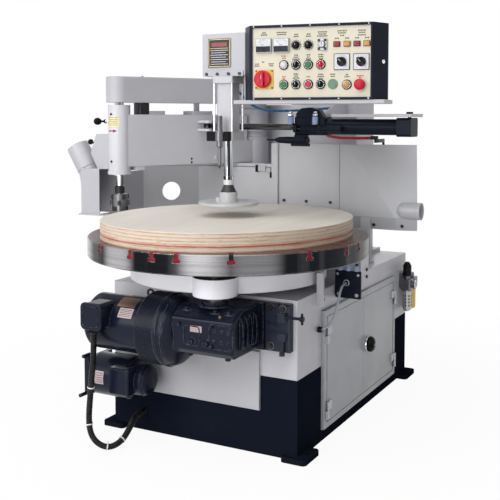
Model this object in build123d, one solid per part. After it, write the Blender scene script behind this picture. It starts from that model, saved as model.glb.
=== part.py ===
from build123d import *
import math
import os

os.makedirs("parts", exist_ok=True)

# Base: millimetres, floor at zero, front face towards minus Y.
base_wide = 900.0
base_deep = 1370.0
plinth_top = 331.0
body_tall = 323.0
base_top = plinth_top + body_tall
wall = 8.0
right_x = base_wide / 2
front_y = -base_deep / 2
rear_y = base_deep / 2

# Feet and their anchor bolts.
foot_thick = 22.0
foot_out = 48.0
foot_hole = 9.0
bolt_x = right_x + 24.0
bolt_y = rear_y - 45.0

# Electrical cabinet let into the right side.
cabinet_front = -447.0
cabinet_rear = 473.0
cabinet_low = 55.0
cabinet_high = 566.0
cabinet_deep = 260.0
cabinet_proud = 14.0
cabinet_fit = 0.5
door_thick = 16.0
door_gap = 2.0
hinge_out = 7.6
knuckle_radius = 7.0
hinge_heights = (135.0, 460.0)

# Turntable, ring gear and pinion.
table_y = -445.0
table_radius = 616.0
guard_up = 30.0
guard_tall = 94.0
table_gap = 7.5
table_thick = 82.5
guard_low = base_top + guard_up
guard_high = guard_low + guard_tall
table_low = guard_high + table_gap
table_top = table_low + table_thick
hub_radius = 90.0
running_fit = 0.06
tooth_size = 8.0
ring_teeth = 92
pinion_teeth = 16
mesh_angle = -67.5
mesh_distance = tooth_size * (ring_teeth + pinion_teeth) / 2
guard_radius = 433.0
boss_radius = 90.0
slot_wide = 18.0
slot_foot_wide = 32.0
slot_foot_high = 14.0
slot_deep = 36.0
slot_long = 270.0
slot_fit = 0.3
slot_step = 9.8
slot_start = -59.5
slot_places = (-6, -4, -3, -2, 0, 3, 5, 6)

# Boards carried on the table.
board_long = 582.0
board_short = 532.0
board_turn = 78.0
template_thick = 19.0
board_thick = 56.0

# Gear unit on the front face.
drive_y = -845.0
drive_z = 519.0
motor_left = -415.0
motor_radius = 117.0
drum_left = -126.0
drum_right = -35.0
drum_radius = 147.0
gearbox_left = 27.0
gearbox_right = 318.0
gearbox_low = 455.0
gearbox_top = 640.0
gearbox_back = front_y - 24.0
gearbox_front = drive_y - 100.0
output_radius = 35.0

# Smaller motor under it.
pump_y = -800.0
pump_z = 273.0
pump_radius = 90.0

# Column, overarm and hold-down.
column_left = -107.0
column_right = 265.0
column_front = 420.0
arm_half = 107.0
column_tall = 1088.0
arm_deep = 185.0
arm_high = base_top + column_tall
arm_low = arm_high - arm_deep
arm_front = -487.0
cap_half = 50.0
cap_deep = 53.0
cap_high = 30.0
tube_long = 209.0
tube_high = arm_low - cap_high
tube_low = tube_high - tube_long
press_rod = 20.0
spigot_radius = 15.0
disc_radius = 133.0
press_gap = 51.0
disc_low = table_top + template_thick + board_thick + press_gap
disc_thick = 14.0

# Console turned towards the operator.
console_x = 174.0
console_y = -573.0
console_turn = 9.6
console_drop = 106.0
console_tall = 307.0
console_low = arm_low - console_drop
console_high = console_low + console_tall
console_wide = 517.0
wing_out = 46.0
wing_deep = 80.0
console_deep = 98.0
rim = 10.0
panel_face = 9.0
panel_thick = 3.0
stem_radius = 5.0
shelf_thick = 16.0
row_first = 63.0
row_step = 80.0
row_low = console_low + row_first
row_middle = row_low + row_step
row_high = row_middle + row_step
panel_wide = console_wide - 2 * rim

# Swing arm with the cutter spindle.
pivot_x = -350.0
pivot_y = 411.0
spindle_x = -664.0
spindle_y = -350.0
post_radius = 95.0
pin_radius = 45.0
post_tall = 462.0
hub_tall = 142.0
hub_outer = 100.0
link_up = 24.0
link_tall = 252.0
head_radius = 54.0
head_under = 38.0
head_over = 46.0
shaft_radius = 22.0
cover_gap = 12.0
cover_tall = 125.0
cutter_drop = 180.0
cutter_tall = 84.0
hub_low = base_top + post_tall
hub_high = hub_low + hub_tall
link_low = hub_low + link_up
link_high = link_low + link_tall
head_low = link_low - head_under
head_high = link_high + head_over
cover_low = head_high + cover_gap
cover_high = cover_low + cover_tall
cutter_low = head_low - cutter_drop
cutter_high = cutter_low + cutter_tall
cutter_radius = 48.0
arm_reach = math.hypot(spindle_x - pivot_x, spindle_y - pivot_y)
arm_turn = math.degrees(math.atan2(spindle_x - pivot_x, pivot_y - spindle_y))

# Air cylinder that swings the arm.
clevis_x = 700.0
clevis_y = -60.0
thrust_drop = 57.0
thrust_z = link_high - thrust_drop
lug_side = 130.0
lug_along = 380.0
pin_small = 8.0
eye_play = 4.0
tube_radius = 36.0
thrust_rod = 12.5
guide_rod = 6.0

# Sheet-metal guard behind the table.
sheet = 4.0
chips_up = 182.0
chips_short = 284.0
chips_tall = 408.0
chips_low = base_top + chips_up
chips_mid = chips_low + chips_short
chips_high = chips_low + chips_tall
chips_y = 250.0
duct_radius = 42.0
hood_fold = 54.0
hood_back = 80.0


def block(x0, x1, y0, y1, z0, z1):
    middle = Pos((x0 + x1) / 2, (y0 + y1) / 2, (z0 + z1) / 2)
    return middle * Box(x1 - x0, y1 - y0, z1 - z0)


def upright(x, y, z0, z1, radius):
    return Pos(x, y, (z0 + z1) / 2) * Cylinder(radius, z1 - z0)


def along_x(x0, x1, y, z, radius):
    return Pos((x0 + x1) / 2, y, z) * Rot(0, 90, 0) * Cylinder(radius, x1 - x0)


def along_y(y0, y1, x, z, radius):
    return Pos(x, (y0 + y1) / 2, z) * Rot(90, 0, 0) * Cylinder(radius, y1 - y0)


def turned(points):
    outline = Polyline(*[(radius, 0, height) for radius, height in points], close=True)
    return revolve(make_face(outline), Axis.Z)


def turned_x(points, y, z):
    return Pos(0, y, z) * Rot(0, 90, 0) * turned([(radius, x) for x, radius in points])


def prism(points, z0, z1):
    outline = Polyline(*[(x, y, z0) for x, y in points], close=True)
    return extrude(make_face(outline), z1 - z0, dir=(0, 0, 1))


def profile_x(points, x0, x1):
    outline = Polyline(*[(x0, y, z) for y, z in points], close=True)
    return extrude(make_face(outline), x1 - x0, dir=(1, 0, 0))


def link(reach, near_radius, far_radius, z0, z1):
    lean = math.asin((near_radius - far_radius) / reach)
    side_x = math.cos(lean)
    side_y = math.sin(lean)
    near = (near_radius * side_x, -near_radius * side_y)
    far = (far_radius * side_x, -reach - far_radius * side_y)
    corners = [near, far, (-far[0], far[1]), (-near[0], near[1])]
    ends = upright(0, 0, z0, z1, near_radius) + upright(0, -reach, z0, z1, far_radius)
    return prism(corners, z0, z1) + ends


def panel_wall(start, end, z0, z1, thick):
    length = math.hypot(end[0] - start[0], end[1] - start[1])
    turn = math.degrees(math.atan2(end[1] - start[1], end[0] - start[0]))
    panel = block(-thick / 2, length + thick / 2, 0, thick, z0, z1)
    return Pos(start[0], start[1], 0) * Rot(0, 0, turn) * panel


def gear_outline(teeth, phase):
    pitch = tooth_size * teeth / 2
    tip = pitch + 0.7 * tooth_size
    root = pitch - 0.95 * tooth_size
    half = math.pi * tooth_size / 4 - 0.6
    slope = math.tan(math.radians(20))
    points = []
    for number in range(teeth):
        middle = math.radians(phase) + 2 * math.pi * number / teeth
        for radius, side in ((root, -1), (tip, -1), (tip, 1), (root, 1)):
            turn = middle + side * (half - (radius - pitch) * slope) / pitch
            points.append((radius * math.cos(turn), radius * math.sin(turn)))
    return points


def hexagon(x, y, z0, z1, across):
    return Pos(x, y, z0) * extrude(RegularPolygon(across / 2, 6, major_radius=False), z1 - z0)


def cord(points, radius):
    legs = [Vector(*b) - Vector(*a) for a, b in zip(points, points[1:])]
    bends = []
    for before, after in zip(legs, legs[1:]):
        half_turn = math.radians(before.get_angle(after)) / 2
        bends.append(0.45 * min(before.length, after.length) / math.tan(half_turn))
    path = FilletPolyline(*points, radius=bends)
    start = Plane(origin=points[0], z_dir=legs[0])
    tube = sweep(start * Circle(radius), path=path)
    ratio = tube.volume / (math.pi * radius ** 2 * path.length)
    print("cord bend radii", [round(bend) for bend in bends], "volume ratio", round(ratio, 4))
    return tube


def write(shape, name):
    export_step(shape, "parts/" + name + ".step")


# Plinth: an open steel frame with four anchor feet.
plinth = block(-right_x, right_x, front_y, rear_y, 4, plinth_top)
plinth -= block(-right_x + 12, right_x - 12, front_y + 12, rear_y - 12, 0, plinth_top + 1)
notch_front = cabinet_front - cabinet_fit
notch_rear = cabinet_rear + cabinet_fit
plinth -= block(right_x - 20, right_x + 1, notch_front, notch_rear, cabinet_low - cabinet_fit, plinth_top + 1)
for side in (-1, 1):
    for end in (-1, 1):
        foot_seat = Pos(side * (right_x - 8), end * bolt_y, foot_thick / 2)
        foot = foot_seat * Box(2 * foot_out + 16, 150, foot_thick)
        foot = fillet(foot.edges().filter_by(Axis.Z), 18)
        foot = chamfer(foot.faces().sort_by(Axis.Z)[-1].edges(), 2)
        plinth += foot
for side in (-1, 1):
    for end in (-1, 1):
        plinth -= upright(side * bolt_x, end * bolt_y, -1, foot_thick + 1, foot_hole)
write(plinth, "plinth")

# Upper body: a shell with a thick top plate and two flat bars on its right side.
body = block(-right_x, right_x, front_y, rear_y, plinth_top, base_top)
body = fillet(body.edges().filter_by(Axis.Z), 6)
body -= block(-right_x + wall, right_x - wall, front_y + wall, rear_y - wall, plinth_top - 1, base_top - 14)
body -= block(right_x - 20, right_x + 1, notch_front, notch_rear, plinth_top - 1, cabinet_high + cabinet_fit)
body += block(right_x - 1, right_x + 8, -497, -434, 598, 736)
body += block(right_x + 7, right_x + 30, -497, -489, 598, 736)
body += block(right_x - 1, right_x + 8, -11, 95, 578, 736)
write(body, "base_body")

# Folded cover hung in front of the base.
cover = block(-258, 285, front_y - 14, front_y, 188, 432)
cover = fillet(cover.faces().sort_by(Axis.Y)[0].edges(), 3)
write(cover, "front_panel")

# Cabinet box with a proud frame round two doors.
cabinet_out = right_x + cabinet_proud
frame_wide = 26.0
cabinet = block(right_x - cabinet_deep, cabinet_out, cabinet_front, cabinet_rear, cabinet_low, cabinet_high)
cabinet = fillet(cabinet.faces().sort_by(Axis.X)[-1].edges(), 3)
cabinet -= block(
    right_x - cabinet_deep + 3, cabinet_out - 20,
    cabinet_front + 3, cabinet_rear - 3, cabinet_low + 3, cabinet_high - 3,
)
frame_low = cabinet_low + frame_wide
frame_high = cabinet_high - frame_wide
hinge_front = cabinet_front + frame_wide
hinge_rear = cabinet_rear - frame_wide
cabinet -= block(cabinet_out - 21, cabinet_out + 1, hinge_front, hinge_rear, frame_low, frame_high)
hinge_x = cabinet_out + hinge_out
for hinge_y, outward in ((hinge_front, -1), (hinge_rear, 1)):
    for hinge_z in hinge_heights:
        tail = hinge_y + outward * 20
        cabinet += upright(hinge_x, hinge_y, hinge_z - 36, hinge_z - 1, knuckle_radius)
        cabinet += block(
            cabinet_out - 1, hinge_x, min(hinge_y, tail), max(hinge_y, tail), hinge_z - 36, hinge_z - 1,
        )
        cabinet -= upright(hinge_x, hinge_y, hinge_z - 37, hinge_z, 3 + running_fit)
write(cabinet, "cabinet")

door_low = frame_low + door_gap
door_high = frame_high - door_gap
door_middle = 16.0
knob_y = 74.0
knob_z = 305.0


def make_door(hinge_y, edge_y):
    inward = 1 if edge_y > hinge_y else -1
    near = hinge_y + inward * (door_gap + 7)
    y0 = min(near, edge_y)
    y1 = max(near, edge_y)
    leaf = block(cabinet_out - door_thick, cabinet_out, y0, y1, door_low, door_high)
    leaf = fillet(leaf.faces().sort_by(Axis.X)[-1].edges(), 2)
    leaf -= block(cabinet_out - door_thick - 1, cabinet_out - 3, y0 + 3, y1 - 3, door_low + 3, door_high - 3)
    for hinge_z in hinge_heights:
        tip = hinge_y + inward * 44
        pad = hinge_y + inward * 16
        leaf += upright(hinge_x, hinge_y, hinge_z, hinge_z + 36, knuckle_radius)
        leaf += upright(hinge_x, hinge_y, hinge_z - 30, hinge_z + 1, 3)
        leaf += block(
            cabinet_out + 1, hinge_x, min(hinge_y, tip), max(hinge_y, tip), hinge_z, hinge_z + 36,
        )
        leaf += block(cabinet_out - 1, hinge_x, min(pad, tip), max(pad, tip), hinge_z, hinge_z + 36)
    return leaf


door_front = make_door(hinge_front, door_middle - door_gap / 2)
write(door_front, "door_front")
door_rear = make_door(hinge_rear, door_middle + door_gap / 2)
door_rear -= along_x(cabinet_out - 30, cabinet_out + 1, knob_y, knob_z, 8 + running_fit)
write(door_rear, "door_rear")
knob_profile = [(0, -28), (8, -28), (8, 0.6), (24, 0.6), (26, 3), (26, 8), (20, 18), (12, 22), (0, 22)]
door_knob = Pos(cabinet_out, knob_y, knob_z) * Rot(0, 90, 0) * turned(knob_profile)
door_knob += block(
    cabinet_out + 17, cabinet_out + 26, knob_y - 4, knob_y + 4, knob_z - 17, knob_z + 17,
)
write(door_knob, "door_knob")

# Bearing pedestal and gear guard under the table.
pinion_x = mesh_distance * math.cos(math.radians(mesh_angle))
pinion_y = table_y + mesh_distance * math.sin(math.radians(mesh_angle))
guard = upright(0, table_y, guard_low, guard_high, guard_radius)
guard -= upright(0, table_y, guard_low + 6, guard_high + 1, guard_radius - 5)
boss = upright(pinion_x, pinion_y, guard_low - 6, guard_high - 24, boss_radius)
boss = fillet(boss.faces().sort_by(Axis.Z)[0].edges(), 6)
boss -= upright(pinion_x, pinion_y, guard_low, guard_high, boss_radius - 5)
boss -= upright(0, table_y, guard_low + 6, guard_high, guard_radius - 5)
guard -= upright(pinion_x, pinion_y, guard_low, guard_high + 1, boss_radius - 5)
guard += boss
guard -= upright(pinion_x, pinion_y, guard_low - 10, guard_low + 10, output_radius + 1)
pedestal = turned([
    (hub_radius + running_fit, base_top), (200, base_top), (200, guard_low), (150, guard_low + 30),
    (126, guard_low + 60), (126, table_low - 4), (hub_radius + running_fit, table_low - 4),
])
guard += Pos(0, table_y, 0) * pedestal
guard -= upright(0, table_y, base_top - 1, table_low, hub_radius + running_fit)
write(guard, "gear_guard")

# Turntable with T-slots running in from the rim.
slot_profile = [
    (-slot_wide / 2, 1), (-slot_wide / 2, slot_foot_high - slot_deep),
    (-slot_foot_wide / 2, slot_foot_high - slot_deep), (-slot_foot_wide / 2, -slot_deep),
    (slot_foot_wide / 2, -slot_deep), (slot_foot_wide / 2, slot_foot_high - slot_deep),
    (slot_wide / 2, slot_foot_high - slot_deep), (slot_wide / 2, 1),
]
table = turned([
    (0, guard_low - 20), (hub_radius, guard_low - 20), (hub_radius, table_low),
    (table_radius - 4, table_low), (table_radius, table_low + 4),
    (table_radius, table_top - 3), (table_radius - 3, table_top), (0, table_top),
])
table = Pos(0, table_y, 0) * table
slot_section = [(y, table_top + z) for y, z in slot_profile]
slot_cut = profile_x(slot_section, table_radius - slot_long, table_radius + 5)
slot_turns = [slot_start + slot_step * place for place in slot_places]
for turn in slot_turns + [turn + 180 for turn in slot_turns]:
    table -= Pos(0, table_y, 0) * Rot(0, 0, turn) * slot_cut
write(table, "table")

slot_half = slot_wide / 2 - slot_fit
foot_half = slot_foot_wide / 2 - slot_fit
foot_top = slot_foot_high - slot_deep - slot_fit
filler_profile = [
    (-slot_half, -slot_fit), (-slot_half, foot_top), (-foot_half, foot_top),
    (-foot_half, slot_fit - slot_deep), (foot_half, slot_fit - slot_deep),
    (foot_half, foot_top), (slot_half, foot_top), (slot_half, -slot_fit),
]
filler_section = [(y, table_top + z) for y, z in filler_profile]
filler = profile_x(filler_section, table_radius - slot_long + slot_fit, table_radius - 3)
fillers = Part()
for turn in slot_turns + [turn + 180 for turn in slot_turns]:
    fillers += Pos(0, table_y, 0) * Rot(0, 0, turn) * filler
write(fillers, "slot_fillers")

# Ring gear under the table and the pinion that drives it.
ring = prism(gear_outline(ring_teeth, mesh_angle), table_low - 66, table_low)
ring -= upright(0, 0, table_low - 70, table_low + 1, 300)
write(Pos(0, table_y, 0) * ring, "ring_gear")
space_turn = mesh_angle + 180 + 180 / pinion_teeth
pinion = prism(gear_outline(pinion_teeth, space_turn), table_low - 72, table_low - 34)
pinion += upright(0, 0, gearbox_top - 60, table_low - 71, output_radius)
pinion += upright(0, 0, table_low - 35, table_low - 24, 24)
write(Pos(pinion_x, pinion_y, 0) * pinion, "pinion")

# Oval template and the work board on top of it.
board_seat = Pos(0, table_y, table_top) * Rot(0, 0, board_turn)
template = board_seat * extrude(Ellipse(board_long, board_short), template_thick)
write(template, "template_board")
work = board_seat * Pos(0, 0, template_thick) * extrude(Ellipse(board_long, board_short), board_thick)
work = chamfer(work.faces().sort_by(Axis.Z)[-1].edges(), 1.5)
write(work, "work_board")

# Slide plate that carries the gear unit.
clamp_z = 596.0
slide = block(60, 432, gearbox_back, front_y, 446, 642)
slide = fillet(slide.edges().filter_by(Axis.Y), 6)
slide += block(384, 430, gearbox_back - 16, gearbox_back + 1, 452, 636)
slide += block(326, 384, gearbox_back - 10, gearbox_back + 1, 534, 556)
slide -= block(376, 384, gearbox_back - 1, gearbox_back + 8, 440, 650)
slide += block(392, 422, gearbox_back - 40, gearbox_back - 15, clamp_z - 20, clamp_z + 15)
slide += block(392, 422, gearbox_back - 40, gearbox_back - 15, 500, 530)
slide += upright(407, gearbox_back - 28, 452, 501, 7)
slide += hexagon(407, gearbox_back - 28, 440, 454, 22)
slide -= along_x(390, 424, gearbox_back - 28, clamp_z, 6 + running_fit)
write(slide, "slide_plate")
clamp_screw = along_x(380, 488, gearbox_back - 28, clamp_z, 6)
clamp_screw += along_x(423, 427, gearbox_back - 28, clamp_z, 10)
clamp_screw += along_x(486, 501, gearbox_back - 28, clamp_z, 10)
clamp_screw += upright(494, gearbox_back - 28, clamp_z - 22, clamp_z + 22, 5)
write(clamp_screw, "clamp_screw")

# Right-angle gearbox with a finned cover and a mounting flange.
case_profile = [
    (gearbox_back - 20, gearbox_low + 8), (gearbox_back - 20, gearbox_top), (drive_y - 20, gearbox_top),
    (gearbox_front, gearbox_top - 40), (gearbox_front, gearbox_low + 22), (gearbox_front + 22, gearbox_low),
    (drive_y + 60, gearbox_low),
]
case = profile_x(case_profile, gearbox_left, gearbox_right - 16)
case = fillet(case.edges().filter_by(Axis.X), 14)
case = fillet(case.faces().sort_by(Axis.X)[-1].edges(), 12)
flange_left = gearbox_left + 30
case += block(flange_left, gearbox_right + 2, gearbox_back - 21, gearbox_back, gearbox_low - 4, gearbox_top)
fin_profile = [
    (gearbox_right - 18, gearbox_low + 24), (gearbox_right - 5, gearbox_low + 36),
    (gearbox_right, gearbox_low + 78), (gearbox_right, gearbox_top - 78),
    (gearbox_right - 5, gearbox_top - 42), (gearbox_right - 18, gearbox_top - 28),
]
for number in range(4):
    fin_y = gearbox_front + 52 + number * 38
    fin = make_face(Polyline(*[(x, fin_y, z) for x, z in fin_profile], close=True))
    case += extrude(fin, 12, dir=(0, 1, 0))
bell = [(-6, 142), (6, 138), (18, 128), (28, 112), (36, 96), (44, 84), (58, 76)]
case += turned_x([(-6, 0)] + bell + [(58, 0)], drive_y, drive_z)
case += upright(pinion_x, drive_y, gearbox_top - 1, gearbox_top + 18, 52)
case += upright(pinion_x, drive_y, gearbox_low - 8, gearbox_low + 1, 34)
for plug_x in (gearbox_left + 60, gearbox_right - 60):
    case += upright(plug_x, gearbox_front + 40, gearbox_low - 12, gearbox_low + 2, 11)
for bolt_place in (gearbox_left + 92, gearbox_left + 158):
    case += along_y(gearbox_front - 8, gearbox_front + 2, bolt_place, gearbox_low + 56, 11)
for bolt_place in (gearbox_right - 100, gearbox_right - 66, gearbox_right - 36):
    for bolt_up in (gearbox_low + 66, gearbox_low + 108):
        case += along_y(gearbox_front - 5, gearbox_front + 2, bolt_place, bolt_up, 7)
case -= upright(pinion_x, pinion_y, gearbox_top - 62, gearbox_top + 20, output_radius + running_fit)
write(case, "gearbox")

# Drive motor with a vented drum, terminal box and lifting eye.
motor = turned_x([
    (motor_left, 0), (motor_left, 92), (motor_left + 8, 106), (motor_left + 22, motor_radius),
    (drum_left, motor_radius), (drum_left, drum_radius - 2), (drum_left + 3, drum_radius),
    (drum_right - 2, drum_radius), (drum_right, drum_radius - 3), (drum_right + 1, drum_radius + 3),
    (drum_right + 12, drum_radius + 3), (drum_right + 20, drum_radius - 3), (-6, drum_radius - 5), (-6, 0),
], drive_y, drive_z)
box_out = drive_y - motor_radius - 48
terminal = block(-367, -270, box_out, drive_y - 70, 522, 626)
terminal = fillet(terminal.edges().filter_by(Axis.Y), 20)
lid = block(-371, -266, box_out - 9, box_out + 1, 518, 630)
lid = fillet(lid.edges().filter_by(Axis.Y), 22)
lid = fillet(lid.faces().sort_by(Axis.Y)[0].edges(), 5)
motor += terminal + lid
motor += upright(-326, box_out + 22, 498, 523, 15)
eye_seat = Pos(-142, drive_y, drive_z + motor_radius)
motor += eye_seat * upright(0, 0, -4, 10, 10)
motor += eye_seat * Pos(0, 0, 22) * Rot(90, 0, 0) * Torus(14, 4.5)
for turn in (38, 128, 218, 308):
    lug = block(-8, 6, -12, 12, drum_radius - 30, drum_radius - 5)
    motor += Pos(drum_right + 16, drive_y, drive_z) * Rot(turn, 0, 0) * lug
write(motor, "drive_motor")

# Smaller motor on a bracket below.
pump = turned_x([
    (-440, 0), (-440, pump_radius - 6), (-434, pump_radius), (-266, pump_radius), (-252, pump_radius - 8),
    (-246, pump_radius - 20), (-192, pump_radius - 22), (-178, pump_radius - 32), (-171, 40), (-168, 0),
], pump_y, pump_z)
pump += block(-462, -439, pump_y - 82, pump_y + 82, pump_z - 80, pump_z + 80)
pump_box = block(-316, -216, pump_y - 112, pump_y - 40, pump_z - 47, pump_z + 67)
pump_box = fillet(pump_box.edges().filter_by(Axis.Y), 8)
pump_box = chamfer(pump_box.faces().sort_by(Axis.Y)[0].edges(), 6)
pump += pump_box
pump += block(-420, -262, pump_y + 40, front_y, pump_z - 74, pump_z + 50)
pump += along_y(pump_y - 128, pump_y - 80, -450, pump_z - 70, 8)
pump += along_y(pump_y - 104, pump_y - 62, -450, pump_z + 92, 8)
pump += block(-457, -443, pump_y - 80, pump_y - 62, pump_z + 70, pump_z + 92)
write(pump, "pump_motor")

# Flexible conduit from the terminal box to the plinth.
conduit_route = [
    (-326, box_out + 22, 498), (-326, box_out + 22, 420), (-345, box_out + 22, 260),
    (-360, box_out + 22, 110), (-332, box_out + 24, 46), (-276, box_out + 46, 18),
    (-250, box_out + 108, 34), (-262, box_out + 190, 78), (-288, front_y - 66, 92), (-288, front_y, 92),
]
write(cord(conduit_route, 13), "motor_conduit")

# Column with the shelf that carries the swing cylinder.
column = block(column_left, column_right, column_front, rear_y, base_top, arm_high)
column = fillet(column.edges().filter_by(Axis.Z), 10)
column -= block(
    column_left + 10, column_right - 10, column_front + 10, rear_y - 10, base_top + 20, arm_high - 12,
)
column += block(column_left - 40, column_right + 40, column_front - 44, rear_y, base_top, base_top + 20)
shelf_plate = 14.0
shelf_low = thrust_z + 45
shelf_high = shelf_low + shelf_plate
shelf_plan = [
    (column_left + 150, column_front + 2), (column_right, column_front + 2), (clevis_x + 34, clevis_y + 90),
    (clevis_x + 28, clevis_y - 52), (clevis_x - 60, clevis_y - 48), (clevis_x - 375, clevis_y - 8),
    (clevis_x - 395, clevis_y + 100), (column_left + 150, clevis_y + 160),
]
shelf = prism(shelf_plan, shelf_low, shelf_high)
shelf = fillet(shelf.edges().filter_by(Axis.Z), 14)
column += shelf
web_profile = [
    (column_front + 1, shelf_high - 1), (column_front + 1, shelf_high + 106), (110, shelf_high - 1),
]
column += profile_x(web_profile, column_right - 60, column_right - 48)
column -= upright(clevis_x, clevis_y, shelf_low - 1, shelf_low + shelf_plate + 1, pin_small + running_fit)
write(column, "column")

# Overarm beam with the console bracket and a plain plate on its front.
console = Pos(console_x, console_y, 0) * Rot(0, 0, console_turn)
beam = block(-arm_half, arm_half, arm_front, column_front, arm_low, arm_high)
beam = fillet(beam.edges().filter_by(Axis.Y), 8)
beam = fillet(beam.faces().sort_by(Axis.Y)[0].edges(), 3)
beam -= block(-arm_half + 10, arm_half - 10, arm_front + 10, column_front - 10, arm_low + 10, arm_high - 10)
beam += block(-arm_half + 8, arm_half - 8, arm_front - 5, arm_front + 1, arm_low, arm_low + 22)
beam += console * block(-72, console_wide + wing_out, 4, 200, console_low - shelf_thick, console_low)
beam += block(84, 102, -452, -330, console_low - 6, arm_low + 1)
plate = block(-78, 38, arm_front - 2.5, arm_front + 1, arm_low + 37, arm_high - 20)
beam += fillet(plate.edges().filter_by(Axis.Y), 4)
write(beam, "overarm")

# Hold-down cylinder with tie rods.
cylinder = block(-cap_half, cap_half, table_y - cap_deep, table_y + cap_deep, tube_high, arm_low)
cylinder = fillet(cylinder.edges().filter_by(Axis.Z), 5)
lower_cap = block(-cap_half, cap_half, table_y - cap_deep, table_y + cap_deep, tube_low - 40, tube_low)
lower_cap = fillet(lower_cap.edges().filter_by(Axis.Z), 5)
cylinder += lower_cap
barrel = block(-38, 38, table_y - 40, table_y + 40, tube_low - 1, tube_high + 1)
cylinder += fillet(barrel.edges().filter_by(Axis.Z), 10)
for side_x in (-1, 1):
    for side_y in (-1, 1):
        cylinder += upright(side_x * 44, table_y + side_y * 47, tube_low - 1, tube_high + 1, 5)
cylinder -= upright(0, table_y, tube_low, tube_high - 6, 32)
cylinder -= upright(0, table_y, tube_low - 41, tube_low + 1, press_rod + running_fit)
write(cylinder, "hold_cylinder")

# Centring pointer in a split clamp.
pointer_y = table_y - 78
pointer = block(-68, 44, pointer_y + 2, table_y - cap_deep, tube_low - 42, tube_low)
pointer = fillet(pointer.edges().filter_by(Axis.Z), 4)
pointer += upright(0, pointer_y, tube_low - 42, tube_low, 20)
tip_low = tube_low - 160
pointer += Pos(0, pointer_y, 0) * turned([
    (0, tip_low), (2, tip_low), (7.5, tip_low + 14), (7.5, tip_low + 90), (13, tip_low + 94),
    (13, tip_low + 222), (10, tip_low + 228), (0, tip_low + 228),
])
write(pointer, "pointer")

# Sliding rod with collars and a turning pressure disc on its spigot.
hub_top = disc_low + 57.0
rod = turned([
    (0, disc_low + 4), (spigot_radius, disc_low + 4), (spigot_radius, hub_top), (36, hub_top),
    (32, hub_top + 6), (21, hub_top + 31), (23, hub_top + 31), (23, hub_top + 52), (21, hub_top + 54),
    (22.5, hub_top + 56), (22.5, hub_top + 70), (press_rod, hub_top + 72), (press_rod, tube_low + 58),
    (31.9, tube_low + 58), (31.9, tube_low + 82), (0, tube_low + 82),
])
write(Pos(0, table_y, 0) * rod, "hold_rod")
disc_high = disc_low + disc_thick
disc_bore = spigot_radius + running_fit
disc = turned([
    (0, disc_low), (disc_radius - 2, disc_low), (disc_radius, disc_low + 2), (disc_radius, disc_high - 2),
    (disc_radius - 2, disc_high), (40, disc_high), (40, hub_top - 3), (38, hub_top - 0.5),
    (disc_bore, hub_top - 0.5), (disc_bore, disc_low + 3.5), (0, disc_low + 3.5),
])
disc = Pos(0, table_y, 0) * disc
disc += block(-52, -34, table_y - 22, table_y - 4, disc_high - 1, disc_high + 18)
write(disc, "pressure_disc")

# Pivot post of the swing arm.
post = turned([
    (0, base_top), (150, base_top), (150, base_top + 22), (post_radius, base_top + 40),
    (post_radius, hub_low - 0.4), (pin_radius, hub_low - 0.4), (pin_radius, hub_high + 6), (0, hub_high + 6),
])
post -= block(-200, -right_x - pivot_x, -200, 200, base_top - 1, hub_low)
write(Pos(pivot_x, pivot_y, 0) * post, "pivot_post")

# Swing arm: a tapering casting from the pivot hub to the spindle head.
arm_seat = Pos(pivot_x, pivot_y, 0) * Rot(0, 0, arm_turn)
arm = link(arm_reach, 88, 50, link_low, link_high)
arm = fillet(arm.faces().sort_by(Axis.Z)[-1].edges(), 6)
arm -= upright(0, 0, hub_high, link_high + 1, 122)
arm += upright(0, 0, hub_low, hub_high, hub_outer)
arm += upright(0, -arm_reach, head_low, head_high, head_radius)
arm += upright(0, -arm_reach, head_low, head_low + 16, head_radius + 3)
arm += block(-52, 52, -arm_reach + 60, -arm_reach + 110, link_low - 20, link_low + 2)
arm += block(-20, 36, -arm_reach + 96, -arm_reach + 150, link_high - 2, cover_low)
arm += block(-30, 40, -arm_reach + 150, -arm_reach + 240, link_high - 2, link_high + 18)
arm += block(20, 40, -arm_reach + 430, -arm_reach + 452, link_high - 2, cover_low)
arm += block(-30, 60, -arm_reach + 400, -arm_reach + 520, link_high - 2, link_high + 18)
for lug_low in (thrust_z - 27, thrust_z + 15):
    ear = block(60, lug_side, -lug_along - 22, -lug_along + 22, lug_low, lug_low + 12)
    ear += upright(lug_side, -lug_along, lug_low, lug_low + 12, 22)
    arm += ear
arm += upright(lug_side, -lug_along, thrust_z - 28, thrust_z + 28, pin_small)
arm += along_x(60, 84, -lug_along + 90, link_low + 30, 9)
arm -= upright(0, 0, hub_low - 1, hub_high + 1, pin_radius + running_fit)
arm -= upright(0, -arm_reach, head_low - 1, head_high + 1, shaft_radius + running_fit)
knob_spot = link_high - 33
knob_turn = 45.0
knob_seat = Pos(0, -arm_reach, knob_spot) * Rot(0, 0, knob_turn)
arm -= knob_seat * along_x(-head_radius - 10, -30, 0, 0, 6 + running_fit)
write(arm_seat * arm, "swing_arm")

# Belt cover, closed below except round the two shafts.
cover = link(arm_reach, 150, 62, cover_low, cover_high)
cover = fillet(cover.faces().sort_by(Axis.Z)[-1].edges(), 7)
cover -= link(arm_reach, 146, 58, cover_low + 4, cover_high - 4)
cover -= upright(0, -arm_reach, cover_low - 1, cover_low + 6, 34)
write(arm_seat * cover, "belt_cover")

# Spindle motor standing on the hub.
spindle_motor = turned([
    (pin_radius + 6, hub_high), (96, hub_high), (96, hub_high + 14), (88, hub_high + 18), (88, hub_high + 40),
    (98, hub_high + 44), (98, cover_low - 30), (90, cover_low - 20), (90, cover_low), (0, cover_low),
    (0, hub_high + 20), (pin_radius + 6, hub_high + 20),
])
write(arm_seat * spindle_motor, "spindle_motor")

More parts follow.
